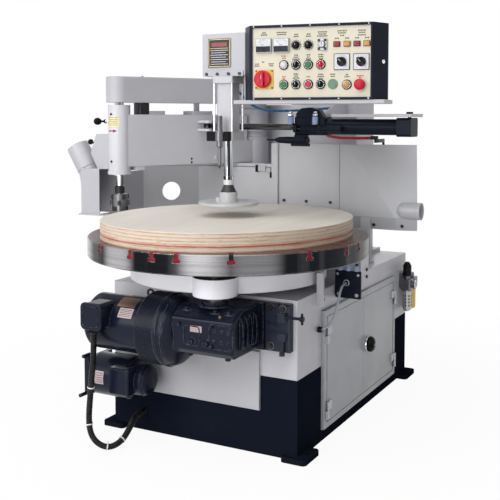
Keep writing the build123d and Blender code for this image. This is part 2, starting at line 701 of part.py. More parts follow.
# Dust hood beside the cutter, open towards it, with a slanted pipe and a collar for the hose.
chute_pipe = 54.0
chute_wall = 3.0
pipe_long = 130.0
collar_radius = 56.5
collar_long = 48.0
hood_left = spindle_x - 194
hood_right = spindle_x - 83
hood_half = 75.0
chute_y = spindle_y + 20
chute_z = cutter_low - 22
plate_top = chute_z + 6
mouth_z = head_low + 20
hood_top = mouth_z + 6
hood_front = chute_y - hood_half
hood_rear = chute_y + hood_half
hood_wide = hood_right - hood_left
mouth = Plane(origin=(spindle_x - 204, chute_y, mouth_z), x_dir=(0, 1, 0), z_dir=(-0.524, 0, 0.852))
throat = Plane(origin=((hood_left + hood_right) / 2, chute_y, plate_top + 107))
bore = chute_pipe - chute_wall
funnel_outer = loft([throat * RectangleRounded(hood_wide, 2 * hood_half, 12), mouth * Circle(chute_pipe)])
inner_wide = hood_wide - 2 * chute_wall
inner_deep = 2 * (hood_half - chute_wall)
funnel_inner = loft([throat * RectangleRounded(inner_wide, inner_deep, 9), mouth * Circle(bore)])
pipe_outer = extrude(mouth * Circle(chute_pipe), pipe_long)
pipe_inner = extrude(mouth * Circle(bore), pipe_long + 1)
collar_seat = mouth.offset(pipe_long - collar_long)
chute = funnel_outer + pipe_outer + extrude(collar_seat * Circle(collar_radius), collar_long)
chute += block(hood_left, hood_right, hood_front, hood_rear, plate_top - 1, hood_top)
chute += block(hood_left - 8, hood_right + 12, hood_front - 13, hood_rear, chute_z, plate_top)
tongue = block(hood_right + 11, spindle_x - 12, hood_front - 13, chute_y - 20, chute_z, plate_top)
chute += tongue - upright(spindle_x, spindle_y, chute_z - 1, plate_top + 1, cutter_radius + 10)
saddle_side = [
    (spindle_x - 112, mouth_z + 175), (spindle_x, mouth_z + 175), (spindle_x, hood_top - 1),
    (spindle_x - 106, hood_top - 1), (spindle_x - 148, mouth_z + 83),
]
saddle_face = make_face(Polyline(*[(x, chute_y - 56, z) for x, z in saddle_side], close=True))
saddle = extrude(saddle_face, 96, dir=(0, 1, 0))
saddle -= upright(spindle_x, spindle_y, mouth_z - 32, mouth_z + 188, head_radius)
saddle -= arm_seat * link(arm_reach, 88, 50, link_low, link_high)
saddle = saddle.solids().sort_by(SortBy.VOLUME)[-1]
chute += saddle
chute -= funnel_inner
chute -= pipe_inner
chute -= block(
    hood_left + chute_wall, hood_right + 1, hood_front + chute_wall, hood_rear - chute_wall,
    plate_top, hood_top - chute_wall,
)
chute -= block(hood_left + 9, hood_right - 12, chute_y - 66, chute_y + 66, chute_z - 1, plate_top + 1)
write(chute, "dust_chute")

lock_knob = turned([
    (0, head_radius - 22), (6, head_radius - 22), (6, head_radius + 6), (11, head_radius + 8),
    (11, head_radius + 16), (5, head_radius + 24), (5, head_radius + 34), (12, head_radius + 38),
    (17, head_radius + 46), (18, head_radius + 55), (15, head_radius + 65), (8, head_radius + 71),
    (0, head_radius + 72),
])
lock_knob = arm_seat * knob_seat * Rot(0, -90, 0) * lock_knob
write(lock_knob, "lock_knob")

# Spindle with its pulley, collar and arbor.
spindle = turned([
    (0, cutter_low - 20), (19, cutter_low - 20), (19, cutter_low - 2), (14, cutter_low),
    (14, cutter_high + 2), (24, cutter_high + 4), (24, cutter_high + 36), (19.5, cutter_high + 40),
    (19.5, head_low - 6), (30, head_low - 6), (30, head_low - 1), (shaft_radius, head_low - 1),
    (shaft_radius, cover_low + 18),
    (46, cover_low + 18), (40, cover_low + 30), (46, cover_low + 42), (40, cover_low + 54),
    (46, cover_low + 66), (46, cover_low + 72), (0, cover_low + 72),
])
write(Pos(spindle_x, spindle_y, 0) * spindle, "spindle")
cutter = upright(0, 0, cutter_low, cutter_high, 38)
cutter -= upright(0, 0, cutter_low - 1, cutter_high + 1, 14.02)
tier_high = (cutter_high - cutter_low) / 3
knife_profile = [(-7, 30), (8, 30), (8, cutter_radius - 5), (2, cutter_radius - 1), (-7, cutter_radius - 3)]
for tier in range(3):
    tier_low = cutter_low + tier * tier_high
    for number in range(4):
        outline = [(radius, side) for side, radius in knife_profile]
        knife = prism(outline, tier_low + 3, tier_low + tier_high - 3)
        cutter += Rot(0, 0, number * 90 + tier * 30) * knife
write(Pos(spindle_x, spindle_y, 0) * cutter, "cutter")

# Swivelling air cylinder; its long axis runs from the clevis to the lug on the arm.
lug_turn = math.radians(arm_turn)
lug_x = pivot_x + lug_side * math.cos(lug_turn) + lug_along * math.sin(lug_turn)
lug_y = pivot_y + lug_side * math.sin(lug_turn) - lug_along * math.cos(lug_turn)
thrust_long = math.hypot(lug_x - clevis_x, lug_y - clevis_y)
thrust_turn = math.degrees(math.atan2(lug_y - clevis_y, lug_x - clevis_x))
thrust_seat = Pos(clevis_x, clevis_y, thrust_z) * Rot(0, 0, thrust_turn)
barrel_start = 46.0
barrel_end = 400.0
head_end = 556.0
thrust = fillet(block(-22, barrel_start, -42, 42, -42, 42).edges().filter_by(Axis.X), 12)
thrust += along_x(barrel_start - 1, barrel_end + 1, 0, 0, tube_radius)
thrust += fillet(block(barrel_end, head_end, -36, 40, -40, 46).edges().filter_by(Axis.X), 8)
crown_side = [
    (barrel_end + 6, 44), (barrel_end + 26, 76), (barrel_end + 78, 90), (head_end - 34, 86),
    (head_end - 6, 62), (head_end - 6, 44),
]
crown = make_face(Polyline(*[(x, 4, z) for x, z in crown_side], close=True))
thrust += extrude(crown, 34, dir=(0, 1, 0))
for guide_x in (barrel_end + 8, head_end - 22):
    thrust += block(guide_x, guide_x + 16, 38, 68, -26, 6)
thrust += along_x(barrel_end - 96, barrel_end + 108, 56, -10, 14)
for port_x in (barrel_end + 42, head_end + 14):
    thrust += upright(port_x, 52, 7, 50, 13)
    thrust += upright(port_x, 52, 49, 66, 9)
thrust += block(head_end - 1, head_end + 26, 20, 60, 6, 16)
thrust += block(barrel_end + 30, barrel_end + 54, 39, 53, 20, 44)
thrust += block(head_end - 60, head_end - 6, 14, 56, -62, -39)
thrust += along_x(head_end - 72, head_end + 40, 40, -64, 17)
thrust += turned_x([
    (head_end + 39, 0), (head_end + 39, 17), (head_end + 84, 15), (head_end + 104, 8), (head_end + 104, 0),
], 40, -64)
thrust += along_x(head_end + 103, head_end + 150, 40, -64, 4)
thrust += block(head_end - 78, head_end + 16, 32, 48, -92, -80)
thrust -= along_x(barrel_start + 14, barrel_end - 12, 0, 0, 31)
thrust -= along_x(barrel_end - 14, head_end + 1, 0, 0, thrust_rod + running_fit)
thrust -= along_x(barrel_end - 82, head_end + 1, 56, -10, guide_rod + running_fit)
thrust += upright(0, 0, 19, shelf_high - thrust_z + 4, pin_small)
thrust += upright(0, 0, shelf_high - thrust_z + 0.3, shelf_high - thrust_z + 9, 15)
write(thrust_seat * thrust, "swing_cylinder")
eye = upright(thrust_long, 0, -12, 12, 24)
piston_start = 225.0
ram = along_x(piston_start, thrust_long - 16, 0, 0, thrust_rod)
ram += along_x(piston_start, piston_start + 30, 0, 0, 30.9)
ram += eye
ram += along_x(thrust_long - 92, thrust_long - 64, 0, 0, 20)
ram += block(thrust_long - 88, thrust_long - 68, 0, 66, -20, 6)
ram += along_x(barrel_end - 50, thrust_long - 60, 56, -10, guide_rod)
ram -= upright(thrust_long, 0, -13, 13, pin_small + eye_play)
write(thrust_seat * ram, "cylinder_rod")

# Folded guard panels with a duct stub, standing on two bars.
corners = [(-800, 40), (-580, chips_y), (-126, chips_y), (240, chips_y)]
chips = panel_wall(corners[0], corners[1], chips_low, chips_mid, sheet)
chips += panel_wall((-828, -165), corners[0], chips_low, chips_mid - 24, sheet)
chips += panel_wall(corners[1], corners[2], chips_low, chips_mid, sheet)
chips += panel_wall(corners[2], corners[3], chips_low, chips_high, sheet)
fold_z = chips_low + hood_fold
foot_z = chips_low - 10
slope_x = 283.0
slope_end = 534.5
hood_end = 636.0
top_end = 612.0
lean_x = hood_back / (top_end - slope_x)
lean_z = lean_x * (slope_end - slope_x) / (chips_high - fold_z)
tuck = 0.5625


def sheet_quad(points):
    return extrude(make_face(Polyline(*points, close=True)), sheet, dir=(0, 1, 0))


fold_y = chips_y + lean_x * (hood_end - slope_x) - lean_z * (chips_high - fold_z)
foot_y = chips_y + tuck * (fold_z - foot_z)
foot_end = hood_end - 11
foot_end_y = foot_y + (foot_end - slope_end) * (fold_y - chips_y) / (hood_end - slope_end)
left_x = corners[3][0] - sheet / 2
chips += sheet_quad([
    (left_x, chips_y, fold_z), (slope_end, chips_y, fold_z), (slope_x, chips_y, chips_high),
    (left_x, chips_y, chips_high),
])
chips += sheet_quad([
    (slope_x, chips_y, chips_high), (slope_end, chips_y, fold_z), (hood_end, fold_y, fold_z),
    (top_end, chips_y + hood_back, chips_high),
])
chips += sheet_quad([
    (left_x, chips_y, fold_z), (slope_end, chips_y, fold_z), (slope_end, foot_y, foot_z),
    (left_x, foot_y, foot_z),
])
chips += sheet_quad([
    (slope_end, chips_y, fold_z), (hood_end, fold_y, fold_z), (foot_end, foot_end_y, foot_z),
    (slope_end, foot_y, foot_z),
])
top_plan = [
    (slope_x, chips_y), (top_end, chips_y + hood_back), (top_end - 5, chips_y + hood_back + 22),
    (slope_x - 5, chips_y + 22),
]
chips += prism(top_plan, chips_high - sheet, chips_high)
chips += block(corners[2][0] - 6, corners[2][0] + 30, chips_y - 12, chips_y + sheet, chips_low, chips_high)
chips += block(corners[3][0] - 3, corners[3][0] + 3, chips_y - 6, chips_y + sheet, chips_low, chips_high)
chips += block(corners[2][0], slope_x, chips_y, chips_y + 24, chips_high - sheet, chips_high)
chips += block(corners[1][0], corners[2][0], chips_y, chips_y + 20, chips_mid - sheet, chips_mid)
chips += block(corners[1][0], corners[3][0], chips_y - 22, chips_y + 1, chips_low, chips_low + sheet)
duct_y = chips_y + 25
duct_z = chips_low + 90
duct_start = hood_end - 61
duct_end = hood_end + 21
duct_run = duct_radius - 1.5
duct_bore = duct_radius - 5
collar_long = 20.0
chips += along_x(duct_start, duct_end, duct_y, duct_z, duct_run)
chips += along_x(duct_end - collar_long, duct_end, duct_y, duct_z, duct_radius)
chips += Pos(duct_start, duct_y, duct_z) * Sphere(duct_run)
chips -= along_x(duct_start, duct_end + 1, duct_y, duct_z, duct_bore)
chips -= Pos(duct_start, duct_y, duct_z) * Sphere(duct_bore)
back_y = duct_y + 14
chips -= block(duct_start - 48, duct_start + 34, back_y, back_y + 40, duct_z - 40, duct_z + 40)
for bar_x in (-160, 380):
    bar_y = chips_y + sheet - 1
    chips += block(bar_x - 25, bar_x + 25, bar_y, bar_y + 10, base_top, chips_low + 120)
    chips += block(bar_x - 25, bar_x + 25, bar_y, chips_y + 60, base_top, base_top + 9)
window_turn = math.degrees(math.atan2(chips_y - 40, 220))
window = Pos(-690, 145, 981) * Rot(0, 0, window_turn) * Rot(90, 0, 0) * Cylinder(49, 60)
chips -= window
write(chips, "chip_guard")

# Valve plate beside the table and the cable that leaves it.
valve = block(right_x + 4, right_x + 122, -308, -300, 600, 720)
valve = fillet(valve.edges().filter_by(Axis.Y), 4)
valve += block(right_x, right_x + 6, -300, -262, 610, 700)
valve += block(right_x + 4, right_x + 60, -301, -262, 650, 656)
for port_x in (right_x + 26, right_x + 64, right_x + 102):
    valve += upright(port_x, -304, 719, 744, 10)
    valve += upright(port_x, -304, 743, 752, 7)
valve += along_y(-318, -307, right_x + 58, 668, 10)
write(valve, "valve_plate")
cable_route = [
    (right_x + 58, -318, 668), (right_x + 58, -350, 668), (right_x + 58, -378, 650),
    (right_x + 57, -394, 618), (right_x + 54, -408, 580), (right_x + 50, -424, 548),
    (right_x + 44, -446, 520), (right_x + 33, -472, 502), (right_x + 9, -485, 496),
]
sensor_cable = cord(cable_route, 5)
sensor_cable += along_x(right_x, right_x + 10, -485, 496, 12)
write(sensor_cable, "sensor_cable")

# Air service unit at the rear right corner: a filter and a regulator in line.
air_x = right_x + 36
air_z = 504.0
air = block(right_x, right_x + 12, 580, 692, 484, 560)
for unit_y in (600, 672):
    casting = block(right_x + 10, right_x + 62, unit_y - 30, unit_y + 30, air_z - 27, air_z + 27)
    air += fillet(casting.edges().filter_by(Axis.Z).sort_by(Axis.X)[-2:], 8)
    air += Pos(air_x, unit_y, 0) * turned([
        (0, 359), (9, 359), (20, 366), (23, 376), (23, 462), (26, 466), (26, air_z - 26), (0, air_z - 26),
    ])
air += along_y(628, 644, air_x, air_z, 13)
air += along_x(right_x + 60, right_x + 82, 600, air_z, 20)
air += upright(air_x, 600, air_z + 26, air_z + 42, 16)
air += upright(air_x, 672, air_z + 26, air_z + 50, 14)
air += along_y(700, 718, air_x, air_z, 15)
air -= along_y(688, 719, air_x, air_z, 9)
air -= upright(air_x, 600, air_z + 14, air_z + 43, 8 + running_fit)
write(air, "air_unit")
regulator = turned([
    (0, air_z + 15), (8, air_z + 15), (8, air_z + 43), (20, air_z + 43), (22, air_z + 46),
    (22, air_z + 96), (18, air_z + 104), (10, air_z + 116), (0, air_z + 118),
])
write(Pos(air_x, 600, 0) * regulator, "regulator_knob")

# Hoses held by the machine.
blue_z = tube_high - 27
blue_route = [
    (0, table_y + 40, blue_z), (0, table_y + 80, blue_z), (12, table_y + 122, blue_z - 32),
    (36, table_y + 174, blue_z - 76), (70, table_y + 270, blue_z - 92), (118, table_y + 440, blue_z - 90),
    (170, table_y + 620, blue_z - 80), (188, column_front - 110, blue_z - 74),
    (188, column_front, blue_z - 74),
]
write(cord(blue_route, 6), "air_hose")
red_z = chips_high + 36
red_route = [
    (122, column_front, red_z + 16), (122, column_front - 50, red_z + 16),
    (146, column_front - 104, red_z + 4), (200, column_front - 160, red_z),
    (268, column_front - 200, red_z - 4), (352, column_front - 232, red_z - 4),
    (452, column_front - 250, red_z),
]
harness = cord(red_route, 7)
harness += block(436, 470, chips_y - 92, chips_y - 66, red_z - 8, red_z + 10)
clip_y = chips_y + lean_x * (458 - slope_x)
harness += block(448, 458, chips_y - 70, clip_y + 14, red_z - 24, red_z - 6)
harness += block(448, 458, clip_y + 2, clip_y + 14, chips_high, red_z - 20)
write(harness, "red_harness")

# Console box: slanted sides and an open front closed by the panel.
plan = [
    (0, 0), (console_wide, 0), (console_wide + wing_out, wing_deep), (console_wide + wing_out, console_deep),
    (-wing_out, console_deep), (-wing_out, wing_deep),
]
inner_plan = [
    (rim, panel_face + panel_thick + 4), (console_wide - rim, panel_face + panel_thick + 4),
    (console_wide + wing_out - 8, wing_deep),
    (console_wide + wing_out - 8, console_deep - 4), (-wing_out + 8, console_deep - 4),
    (-wing_out + 8, wing_deep),
]
shell = prism(plan, console_low, console_high)
shell = fillet(shell.edges().filter_by(Axis.Z), 7)
shell -= prism(inner_plan, console_low + 4, console_high - 4)
shell -= block(rim, console_wide - rim, -1, panel_face + panel_thick, console_low + rim, console_high - rim)
panel_low = console_low + rim + 0.5
panel_high = console_high - rim - 0.5
panel_back = panel_face + panel_thick
panel = block(rim + 0.5, console_wide - rim - 0.5, panel_face, panel_back, panel_low, panel_high)


def across(share):
    return rim + panel_wide * share


columns = [across(share) for share in (0.2736, 0.3783, 0.4829, 0.5875)]
stop_x = across(0.9135)
main_x = rim + 47
main_z = console_low + 86
cam_places = [(across(0.7626), row_middle + 9), (across(0.9215), row_middle + 8)]
stem_places = [(columns[1], row_high), (columns[2], row_high)]
stem_places += [(columns[number], row_middle) for number in (1, 2, 3)]
stem_places += [(place, row_low) for place in columns]
stem_places += [(stop_x, row_low - 3), (main_x, main_z)] + cam_places
for place_x, place_z in stem_places:
    panel -= along_y(panel_face - 1, panel_back + 1, place_x, place_z, stem_radius + running_fit)
    shell -= along_y(panel_back - 1, panel_back + 5, place_x, place_z, stem_radius + 1)
write(console * shell, "control_box")
write(console * panel, "control_panel")

# Fixed bezels, plates, meters and lamps on the panel.
fittings = Part()
for place_x, place_z in stem_places[2:10]:
    ring = along_y(panel_face - 8, panel_face, place_x, place_z, 17)
    ring -= along_y(panel_face - 9, panel_face + 1, place_x, place_z, 14.2)
    fittings += ring
for place_x, place_z in cam_places:
    square = block(place_x - 31, place_x + 31, panel_face - 4, panel_face, place_z - 31, place_z + 31)
    square -= along_y(panel_face - 5, panel_face + 1, place_x, place_z, stem_radius + 1)
    fittings += fillet(square.edges().filter_by(Axis.Y).group_by(SortBy.LENGTH)[0], 1)
yellow = block(main_x - 44, main_x + 44, panel_face - 3, panel_face, main_z - 42, main_z + 42)
yellow -= along_y(panel_face - 4, panel_face + 1, main_x, main_z, stem_radius + 1)
fittings += yellow
for meter_x in (across(0.1006), across(0.2535)):
    meter = block(meter_x - 33, meter_x + 33, panel_face - 12, panel_face, row_high - 28, row_high + 30)
    fittings += fillet(meter.faces().sort_by(Axis.Y)[0].edges(), 2)
dial_x = across(0.5996)
fittings += block(dial_x - 20, dial_x + 20, panel_face - 6, panel_face, row_high - 24, row_high + 24)
fittings += along_y(panel_face - 16, panel_face - 5, dial_x, row_high, 14)
for lamp_x in [across(share) for share in (0.7203, 0.8048, 0.8853, 0.9658)]:
    fittings += block(lamp_x - 13, lamp_x + 13, panel_face - 8, panel_face, row_high - 10, row_high + 10)
fittings += along_y(panel_face - 5, panel_face, columns[0], row_middle, 17)
fittings += along_y(panel_face - 12, panel_face - 4, columns[0], row_middle, 14)
blank_x = across(0.6881)
amber_x = across(0.8048)
fittings += along_y(panel_face - 4, panel_face, blank_x, row_low, 20)
fittings += along_y(panel_face - 5, panel_face, amber_x, row_low - 3, 17)
fittings += along_y(panel_face - 12, panel_face - 4, amber_x, row_low - 3, 13)
write(console * fittings, "panel_fittings")


def control(profile, place_x, place_z):
    stem = [(0, -30), (stem_radius, -30)]
    seat = console * Pos(place_x, panel_face, place_z) * Rot(90, 0, 0)
    return seat * turned(stem + profile)


button = [(stem_radius, 5.2), (13.8, 5.2), (13.8, 11), (12, 13), (0, 13)]
write(control(button, columns[2], row_middle), "start_button_upper")
write(control(button, columns[0], row_low), "start_button_lower")
write(control(button, columns[2], row_low), "halt_button")
mushroom = [(stem_radius, 6), (13.8, 6), (13.8, 14), (22, 15), (22, 20), (17, 25), (9, 28), (0, 29)]
write(control(mushroom, stop_x, row_low - 3), "stop_button")

turn_base = [(stem_radius, 0.6), (13.8, 0.6), (13.8, 10), (0, 10)]


def selector(place_x, place_z):
    seat = console * Pos(place_x, panel_face, place_z) * Rot(90, 0, 0)
    grip = fillet(block(-4, 4, -13, 13, 9, 21).edges().filter_by(Axis.Z), 3)
    return control(turn_base, place_x, place_z) + seat * grip


write(selector(columns[1], row_middle), "selector_feed")
write(selector(columns[3], row_middle), "selector_lock")
write(selector(columns[1], row_low), "selector_table")
write(selector(columns[3], row_low), "selector_press")

cam_base = [(stem_radius, 4.6), (19, 4.6), (19, 10), (0, 10)]


def cam_switch(place_x, place_z):
    seat = console * Pos(place_x, panel_face, place_z) * Rot(90, 0, 0)
    grip = seat * Rot(0, 0, 40) * fillet(block(-6, 6, -20, 20, 9, 26).edges().filter_by(Axis.Z), 5)
    return control(cam_base, place_x, place_z) + grip


write(cam_switch(*cam_places[0]), "cam_switch_left")
write(cam_switch(*cam_places[1]), "cam_switch_right")

speed_base = [(stem_radius, 0.6), (17, 0.6), (17, 4), (12, 6), (11, 20), (9, 22), (0, 22)]
write(control(speed_base, columns[1], row_high), "speed_knob_left")
write(control(speed_base, columns[2], row_high), "speed_knob_right")
main_base = [(stem_radius, 4), (34, 4), (36, 6), (36, 14), (32, 18), (0, 18)]
main_seat = console * Pos(main_x, panel_face, main_z) * Rot(90, 0, 0)
main_grip = main_seat * fillet(block(-8, 8, -30, 30, 17, 34).edges().filter_by(Axis.Z), 6)
write(control(main_base, main_x, main_z) + main_grip, "main_switch")

# Hexagon-head bolts that hold the castings and plates.
bolts = Part()
for bolt_along in (-82, -28, 28, 82):
    bolts += Pos(bolt_along, arm_front - 5, arm_low + 10) * Rot(90, 0, 0) * hexagon(0, 0, 0, 6, 12)
for bolt_along in (-64, 62, 195):
    bolts += Pos(bolt_along, chips_y, chips_low + 115) * Rot(90, 0, 0) * hexagon(0, 0, 0, 6, 14)
for bolt_along in (418, 560):
    lean = 0 if bolt_along < slope_end else (fold_y - chips_y) / (hood_end - slope_end)
    bolt_depth = chips_y + tuck * 40 + lean * (bolt_along - slope_end)
    seat = Plane(origin=(bolt_along, bolt_depth, fold_z - 40), z_dir=(lean, -1, -tuck))
    bolts += seat * hexagon(0, 0, 0, 6, 14)
for bolt_across, bolt_up, step in ((342, 466, 0), (342, 624, 0), (404, 624, 16)):
    bolts += Pos(bolt_across, gearbox_back - step, bolt_up) * Rot(90, 0, 0) * hexagon(0, 0, 0, 9, 20)
for bolt_up in (628, 662):
    bolts += Pos(right_x + 8, 66, bolt_up) * Rot(0, 90, 0) * hexagon(0, 0, 0, 6, 14)
for bolt_y_place in (-482, -452):
    bolts += Pos(right_x + 8, bolt_y_place, 616) * Rot(0, 90, 0) * hexagon(0, 0, 0, 6, 14)
for bolt_along in (column_left - 10, column_left + 120, column_right - 120, column_right + 10):
    bolts += hexagon(bolt_along, column_front - 24, base_top + 20, base_top + 32, 24)
write(bolts, "frame_bolts")
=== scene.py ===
import bpy
import math
import numpy as np
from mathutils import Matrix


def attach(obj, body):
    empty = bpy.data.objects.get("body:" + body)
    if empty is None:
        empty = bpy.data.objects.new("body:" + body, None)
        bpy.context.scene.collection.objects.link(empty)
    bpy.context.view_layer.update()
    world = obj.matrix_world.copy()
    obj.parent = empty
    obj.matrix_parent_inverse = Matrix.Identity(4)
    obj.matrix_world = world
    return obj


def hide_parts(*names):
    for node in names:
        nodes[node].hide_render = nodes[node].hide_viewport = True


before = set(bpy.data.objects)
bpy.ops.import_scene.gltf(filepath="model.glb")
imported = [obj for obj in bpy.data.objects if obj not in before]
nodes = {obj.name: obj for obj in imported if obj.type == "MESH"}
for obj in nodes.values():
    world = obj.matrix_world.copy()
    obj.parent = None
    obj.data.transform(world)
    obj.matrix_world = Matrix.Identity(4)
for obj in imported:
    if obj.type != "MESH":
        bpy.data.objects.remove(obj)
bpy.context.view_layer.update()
scene = bpy.context.scene
scene.view_settings.view_transform = "Standard"
print("frame loaded:", len(nodes), "nodes")


def addObject(name, data):
    made = bpy.data.objects.new(name, data)
    scene.collection.objects.link(made)
    return made


# camera: nearly level, at head height, in front of the right-hand corner
viewPoint = {"place": (1.8761, -3.7474, 1.3862), "turn": 28.168, "tilt": -3.604, "lens": 62.05, "sensor": 36,
             "shift": -0.16}
cameraData = bpy.data.cameras.new("camera")
cameraData.lens = viewPoint["lens"]
cameraData.sensor_width = viewPoint["sensor"]
cameraData.shift_y = viewPoint["shift"]
scene.camera = addObject("camera", cameraData)
scene.camera.location = viewPoint["place"]
scene.camera.rotation_euler = (math.radians(90 + viewPoint["tilt"]), 0, math.radians(viewPoint["turn"]))
print("camera set")


# rings[row, point] joined by quads: each row to the next and, in a loop, the last row to the first
def joinRings(rings, loop):
    rings = np.asarray(rings, float)
    rows, count = rings.shape[:2]
    index = np.arange(rows * count).reshape(rows, count)
    after = np.roll(index, -1, axis=1)
    quads = np.stack([index, after, np.roll(after, -1, axis=0), np.roll(index, -1, axis=0)], -1)
    quads = (quads if loop else quads[:-1]).reshape(-1, 4).tolist()
    ends = [] if loop else [index[0, ::-1].tolist(), index[-1].tolist()]
    return rings.reshape(-1, 3), quads + ends


# a stack of rings has a flat face at each end
def ringStack(rings):
    return joinRings(rings, False)


# a loop of rings closes on itself, as in a torus or a picture frame
def ringLoop(rings):
    return joinRings(rings, True)


# a circle, counted anticlockwise: radius times cosine and sine of an even angle
def circleLine(radius, count=32):
    angle = np.arange(count) * 2 * math.pi / count
    return np.stack([radius * np.cos(angle), radius * np.sin(angle)], -1)


# a rectangle with quarter-circle corners: corner centres plus radius times cosine and sine
def roundLine(wide, high, corner, steps=5, least=1e-5):
    corner = max(min(corner, wide / 2 - least, high / 2 - least), least)
    angle = np.linspace(0, math.pi / 2, steps)[None, :] + np.arange(4)[:, None] * math.pi / 2
    centreX = np.array([1, -1, -1, 1])[:, None] * (wide / 2 - corner)
    centreY = np.array([1, 1, -1, -1])[:, None] * (high / 2 - corner)
    return np.stack([centreX + corner * np.cos(angle), centreY + corner * np.sin(angle)], -1).reshape(-1, 2)


# flat outlines raised to heights: each outline takes one height as its third number
def lift(lines, heights):
    return np.stack([np.column_stack([line, np.full(len(line), height)]) for line, height in zip(lines, heights)])


# one circle for each (radius, height) of a profile
def profileRings(profile, count):
    return lift([circleLine(radius, count) for radius, height in profile], [height for radius, height in profile])


# a plate: its outline at the back, at the start of the bevel and inset by the bevel on top
def plateShape(wide, high, thick, corner=0.002, bevel=0.0006):
    line = roundLine(wide, high, corner)
    small = roundLine(wide - 2 * bevel, high - 2 * bevel, corner - bevel)
    return ringStack(lift([line, line, small], [0, thick - bevel, thick]))


def barShape(wide, high, thick=0.0004):
    return plateShape(wide, high, thick, 0.0003, 0.0001)


# a turned piece: the profile's circles, closed at both ends
def turnedShape(profile, count=32):
    return ringStack(profileRings(profile, count))


# a turned ring with a hole: a closed profile carried round the axis
def ringShape(profile, count=40):
    return ringLoop(profileRings(profile, count))


# a hexagon head with chamfered corners: two equal hexagons and a smaller one on top
def hexShape(across, high):
    corner = circleLine(across / math.sqrt(3), 6)
    return ringStack(lift([corner, corner, corner * 0.9], [0, high * 0.85, high]))


# a socket-head screw: a turned head with a round recess
def socketScrew(radius, high):
    return turnedShape([(radius, 0), (radius, high * 0.85), (radius * 0.9, high), (radius * 0.56, high),
                        (radius * 0.5, high * 0.4)], 24)


# a raised border: a small rectangle of (inset, height) carried round a rounded outline
def borderShape(wide, high, band, thick, corner=0.002):
    profile = [(0, thick), (band, thick), (band, 0), (0, 0)]
    lines = [roundLine(wide - 2 * inset, high - 2 * inset, max(corner - inset, 0.0005)) for inset, height in profile]
    return ringLoop(lift(lines, [height for inset, height in profile]))


# a seat on a face: its origin, then right, up and outward directions
def seatOn(origin, outward, up=(0, 0, 1)):
    outward = np.array(outward, float) / np.linalg.norm(outward)
    up = np.array(up, float) - np.dot(up, outward) * outward
    up = up / np.linalg.norm(up)
    return np.array(origin, float), np.stack([np.cross(up, outward), up, outward])


# a seat that looks upward: its own up direction lies level
def levelSeat(origin, ahead=(0, 1, 0)):
    return seatOn(origin, (0, 0, 1), ahead)


# local (right, up, out) points turned about the outward axis, shifted, and set on a seat
def put(shape, seat, right=0.0, up=0.0, out=0.0, turn=0.0):
    points, faces = shape
    angle = math.radians(turn)
    spin = np.array([[math.cos(angle), math.sin(angle), 0], [-math.sin(angle), math.cos(angle), 0], [0, 0, 1]])
    return seat[0] + (points @ spin + np.array([right, up, out])) @ seat[1], faces


# one shape at several spots, each (right, up, out, turn) as far as needed
def spread(shape, seat, spots):
    return [put(shape, seat, *spot) for spot in spots]


# the four corners of a rectangle about a middle
def cornersOf(middle, halfWide, halfHigh, out=0.0):
    signs = [(side, height) for side in (-1, 1) for height in (-1, 1)]
    return [(middle[0] + side * halfWide, middle[1] + height * halfHigh, out) for side, height in signs]


# spots round a circle: each stands at radius times cosine and sine of its angle, turned to point outward
def dialSpots(middle, radius, angles, out):
    ways = [(math.cos(math.radians(angle)), math.sin(math.radians(angle)), angle - 90) for angle in angles]
    return [(middle[0] + radius * x, middle[1] + radius * y, out, turn) for x, y, turn in ways]


# directions out of a drum: cosine of the angle along its zero direction, sine along the one square to that
def drumOut(drum, angle):
    zero = np.array(drum["zero"], float)
    return np.cos(angle)[:, None] * zero + np.sin(angle)[:, None] * np.cross(zero, np.array(drum["axis"], float))


# a drum's patch: for each angle a small rectangle of (along, radius), joined along the angles
def drumPatch(drum, angles, along, rise=0.0006, count=20, sunk=0.0004):
    outward = drumOut(drum, np.radians(np.linspace(angles[0], angles[1], count)))
    axis = np.array(drum["axis"], float)
    low, high = [np.broadcast_to(np.asarray(end, float), (count,))[:, None] * axis for end in along]
    inner, outer = [np.array(drum["centre"]) + outward * (drum["radius"] + step) for step in (-sunk, rise)]
    return ringStack(np.stack([inner + low, inner + high, outer + high, outer + low], 1))


# a rib that winds round a drum: the angle grows with the distance along, by one radius for 45 degrees
def windingRib(drum, start, along, way, wide=0.0013, rise=0.0013, sunk=0.0006, count=9):
    run = np.linspace(along[0], along[1], count)
    middle = start + way * (run - along[0]) / drum["radius"]
    half = wide / drum["radius"]
    line = np.array(drum["centre"]) + run[:, None] * np.array(drum["axis"], float)
    return ringStack(np.stack([
        line + drumOut(drum, middle + shift) * (drum["radius"] + step)
        for shift, step in ((-half, -sunk), (half, -sunk), (half * 0.6, rise), (-half * 0.6, rise))], 1))


# faces turned outward: the volume summed over corner fans must come out positive
def faceOutward(shape):
    points, faces = shape
    volume = 0.0
    for face in faces:
        corners = points[face]
        volume += (np.cross(corners[1:-1], corners[2:]) @ corners[0]).sum()
    return (points, faces) if volume > 0 else (points, [face[::-1] for face in faces])


finish = {}


# several shapes as one mesh: point lists end to end, face numbers moved along by the points before
def addPiece(name, shapes, finishName, body="frame", angle=35):
    shapes = [faceOutward(shape) for shape in shapes]
    points = np.concatenate([shape[0] for shape in shapes])
    starts = np.cumsum([0] + [len(shape[0]) for shape in shapes])
    faces = [[number + start for number in face] for shape, start in zip(shapes, starts) for face in shape[1]]
    mesh = bpy.data.meshes.new(name)
    mesh.from_pydata(points, [], faces)
    mesh.polygons.foreach_set("use_smooth", np.ones(len(mesh.polygons), bool))
    mesh.set_sharp_from_angle(angle=math.radians(angle))
    mesh.materials.append(finish[finishName])
    mesh.update()
    piece = addObject(name, mesh)
    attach(piece, body)
    return piece


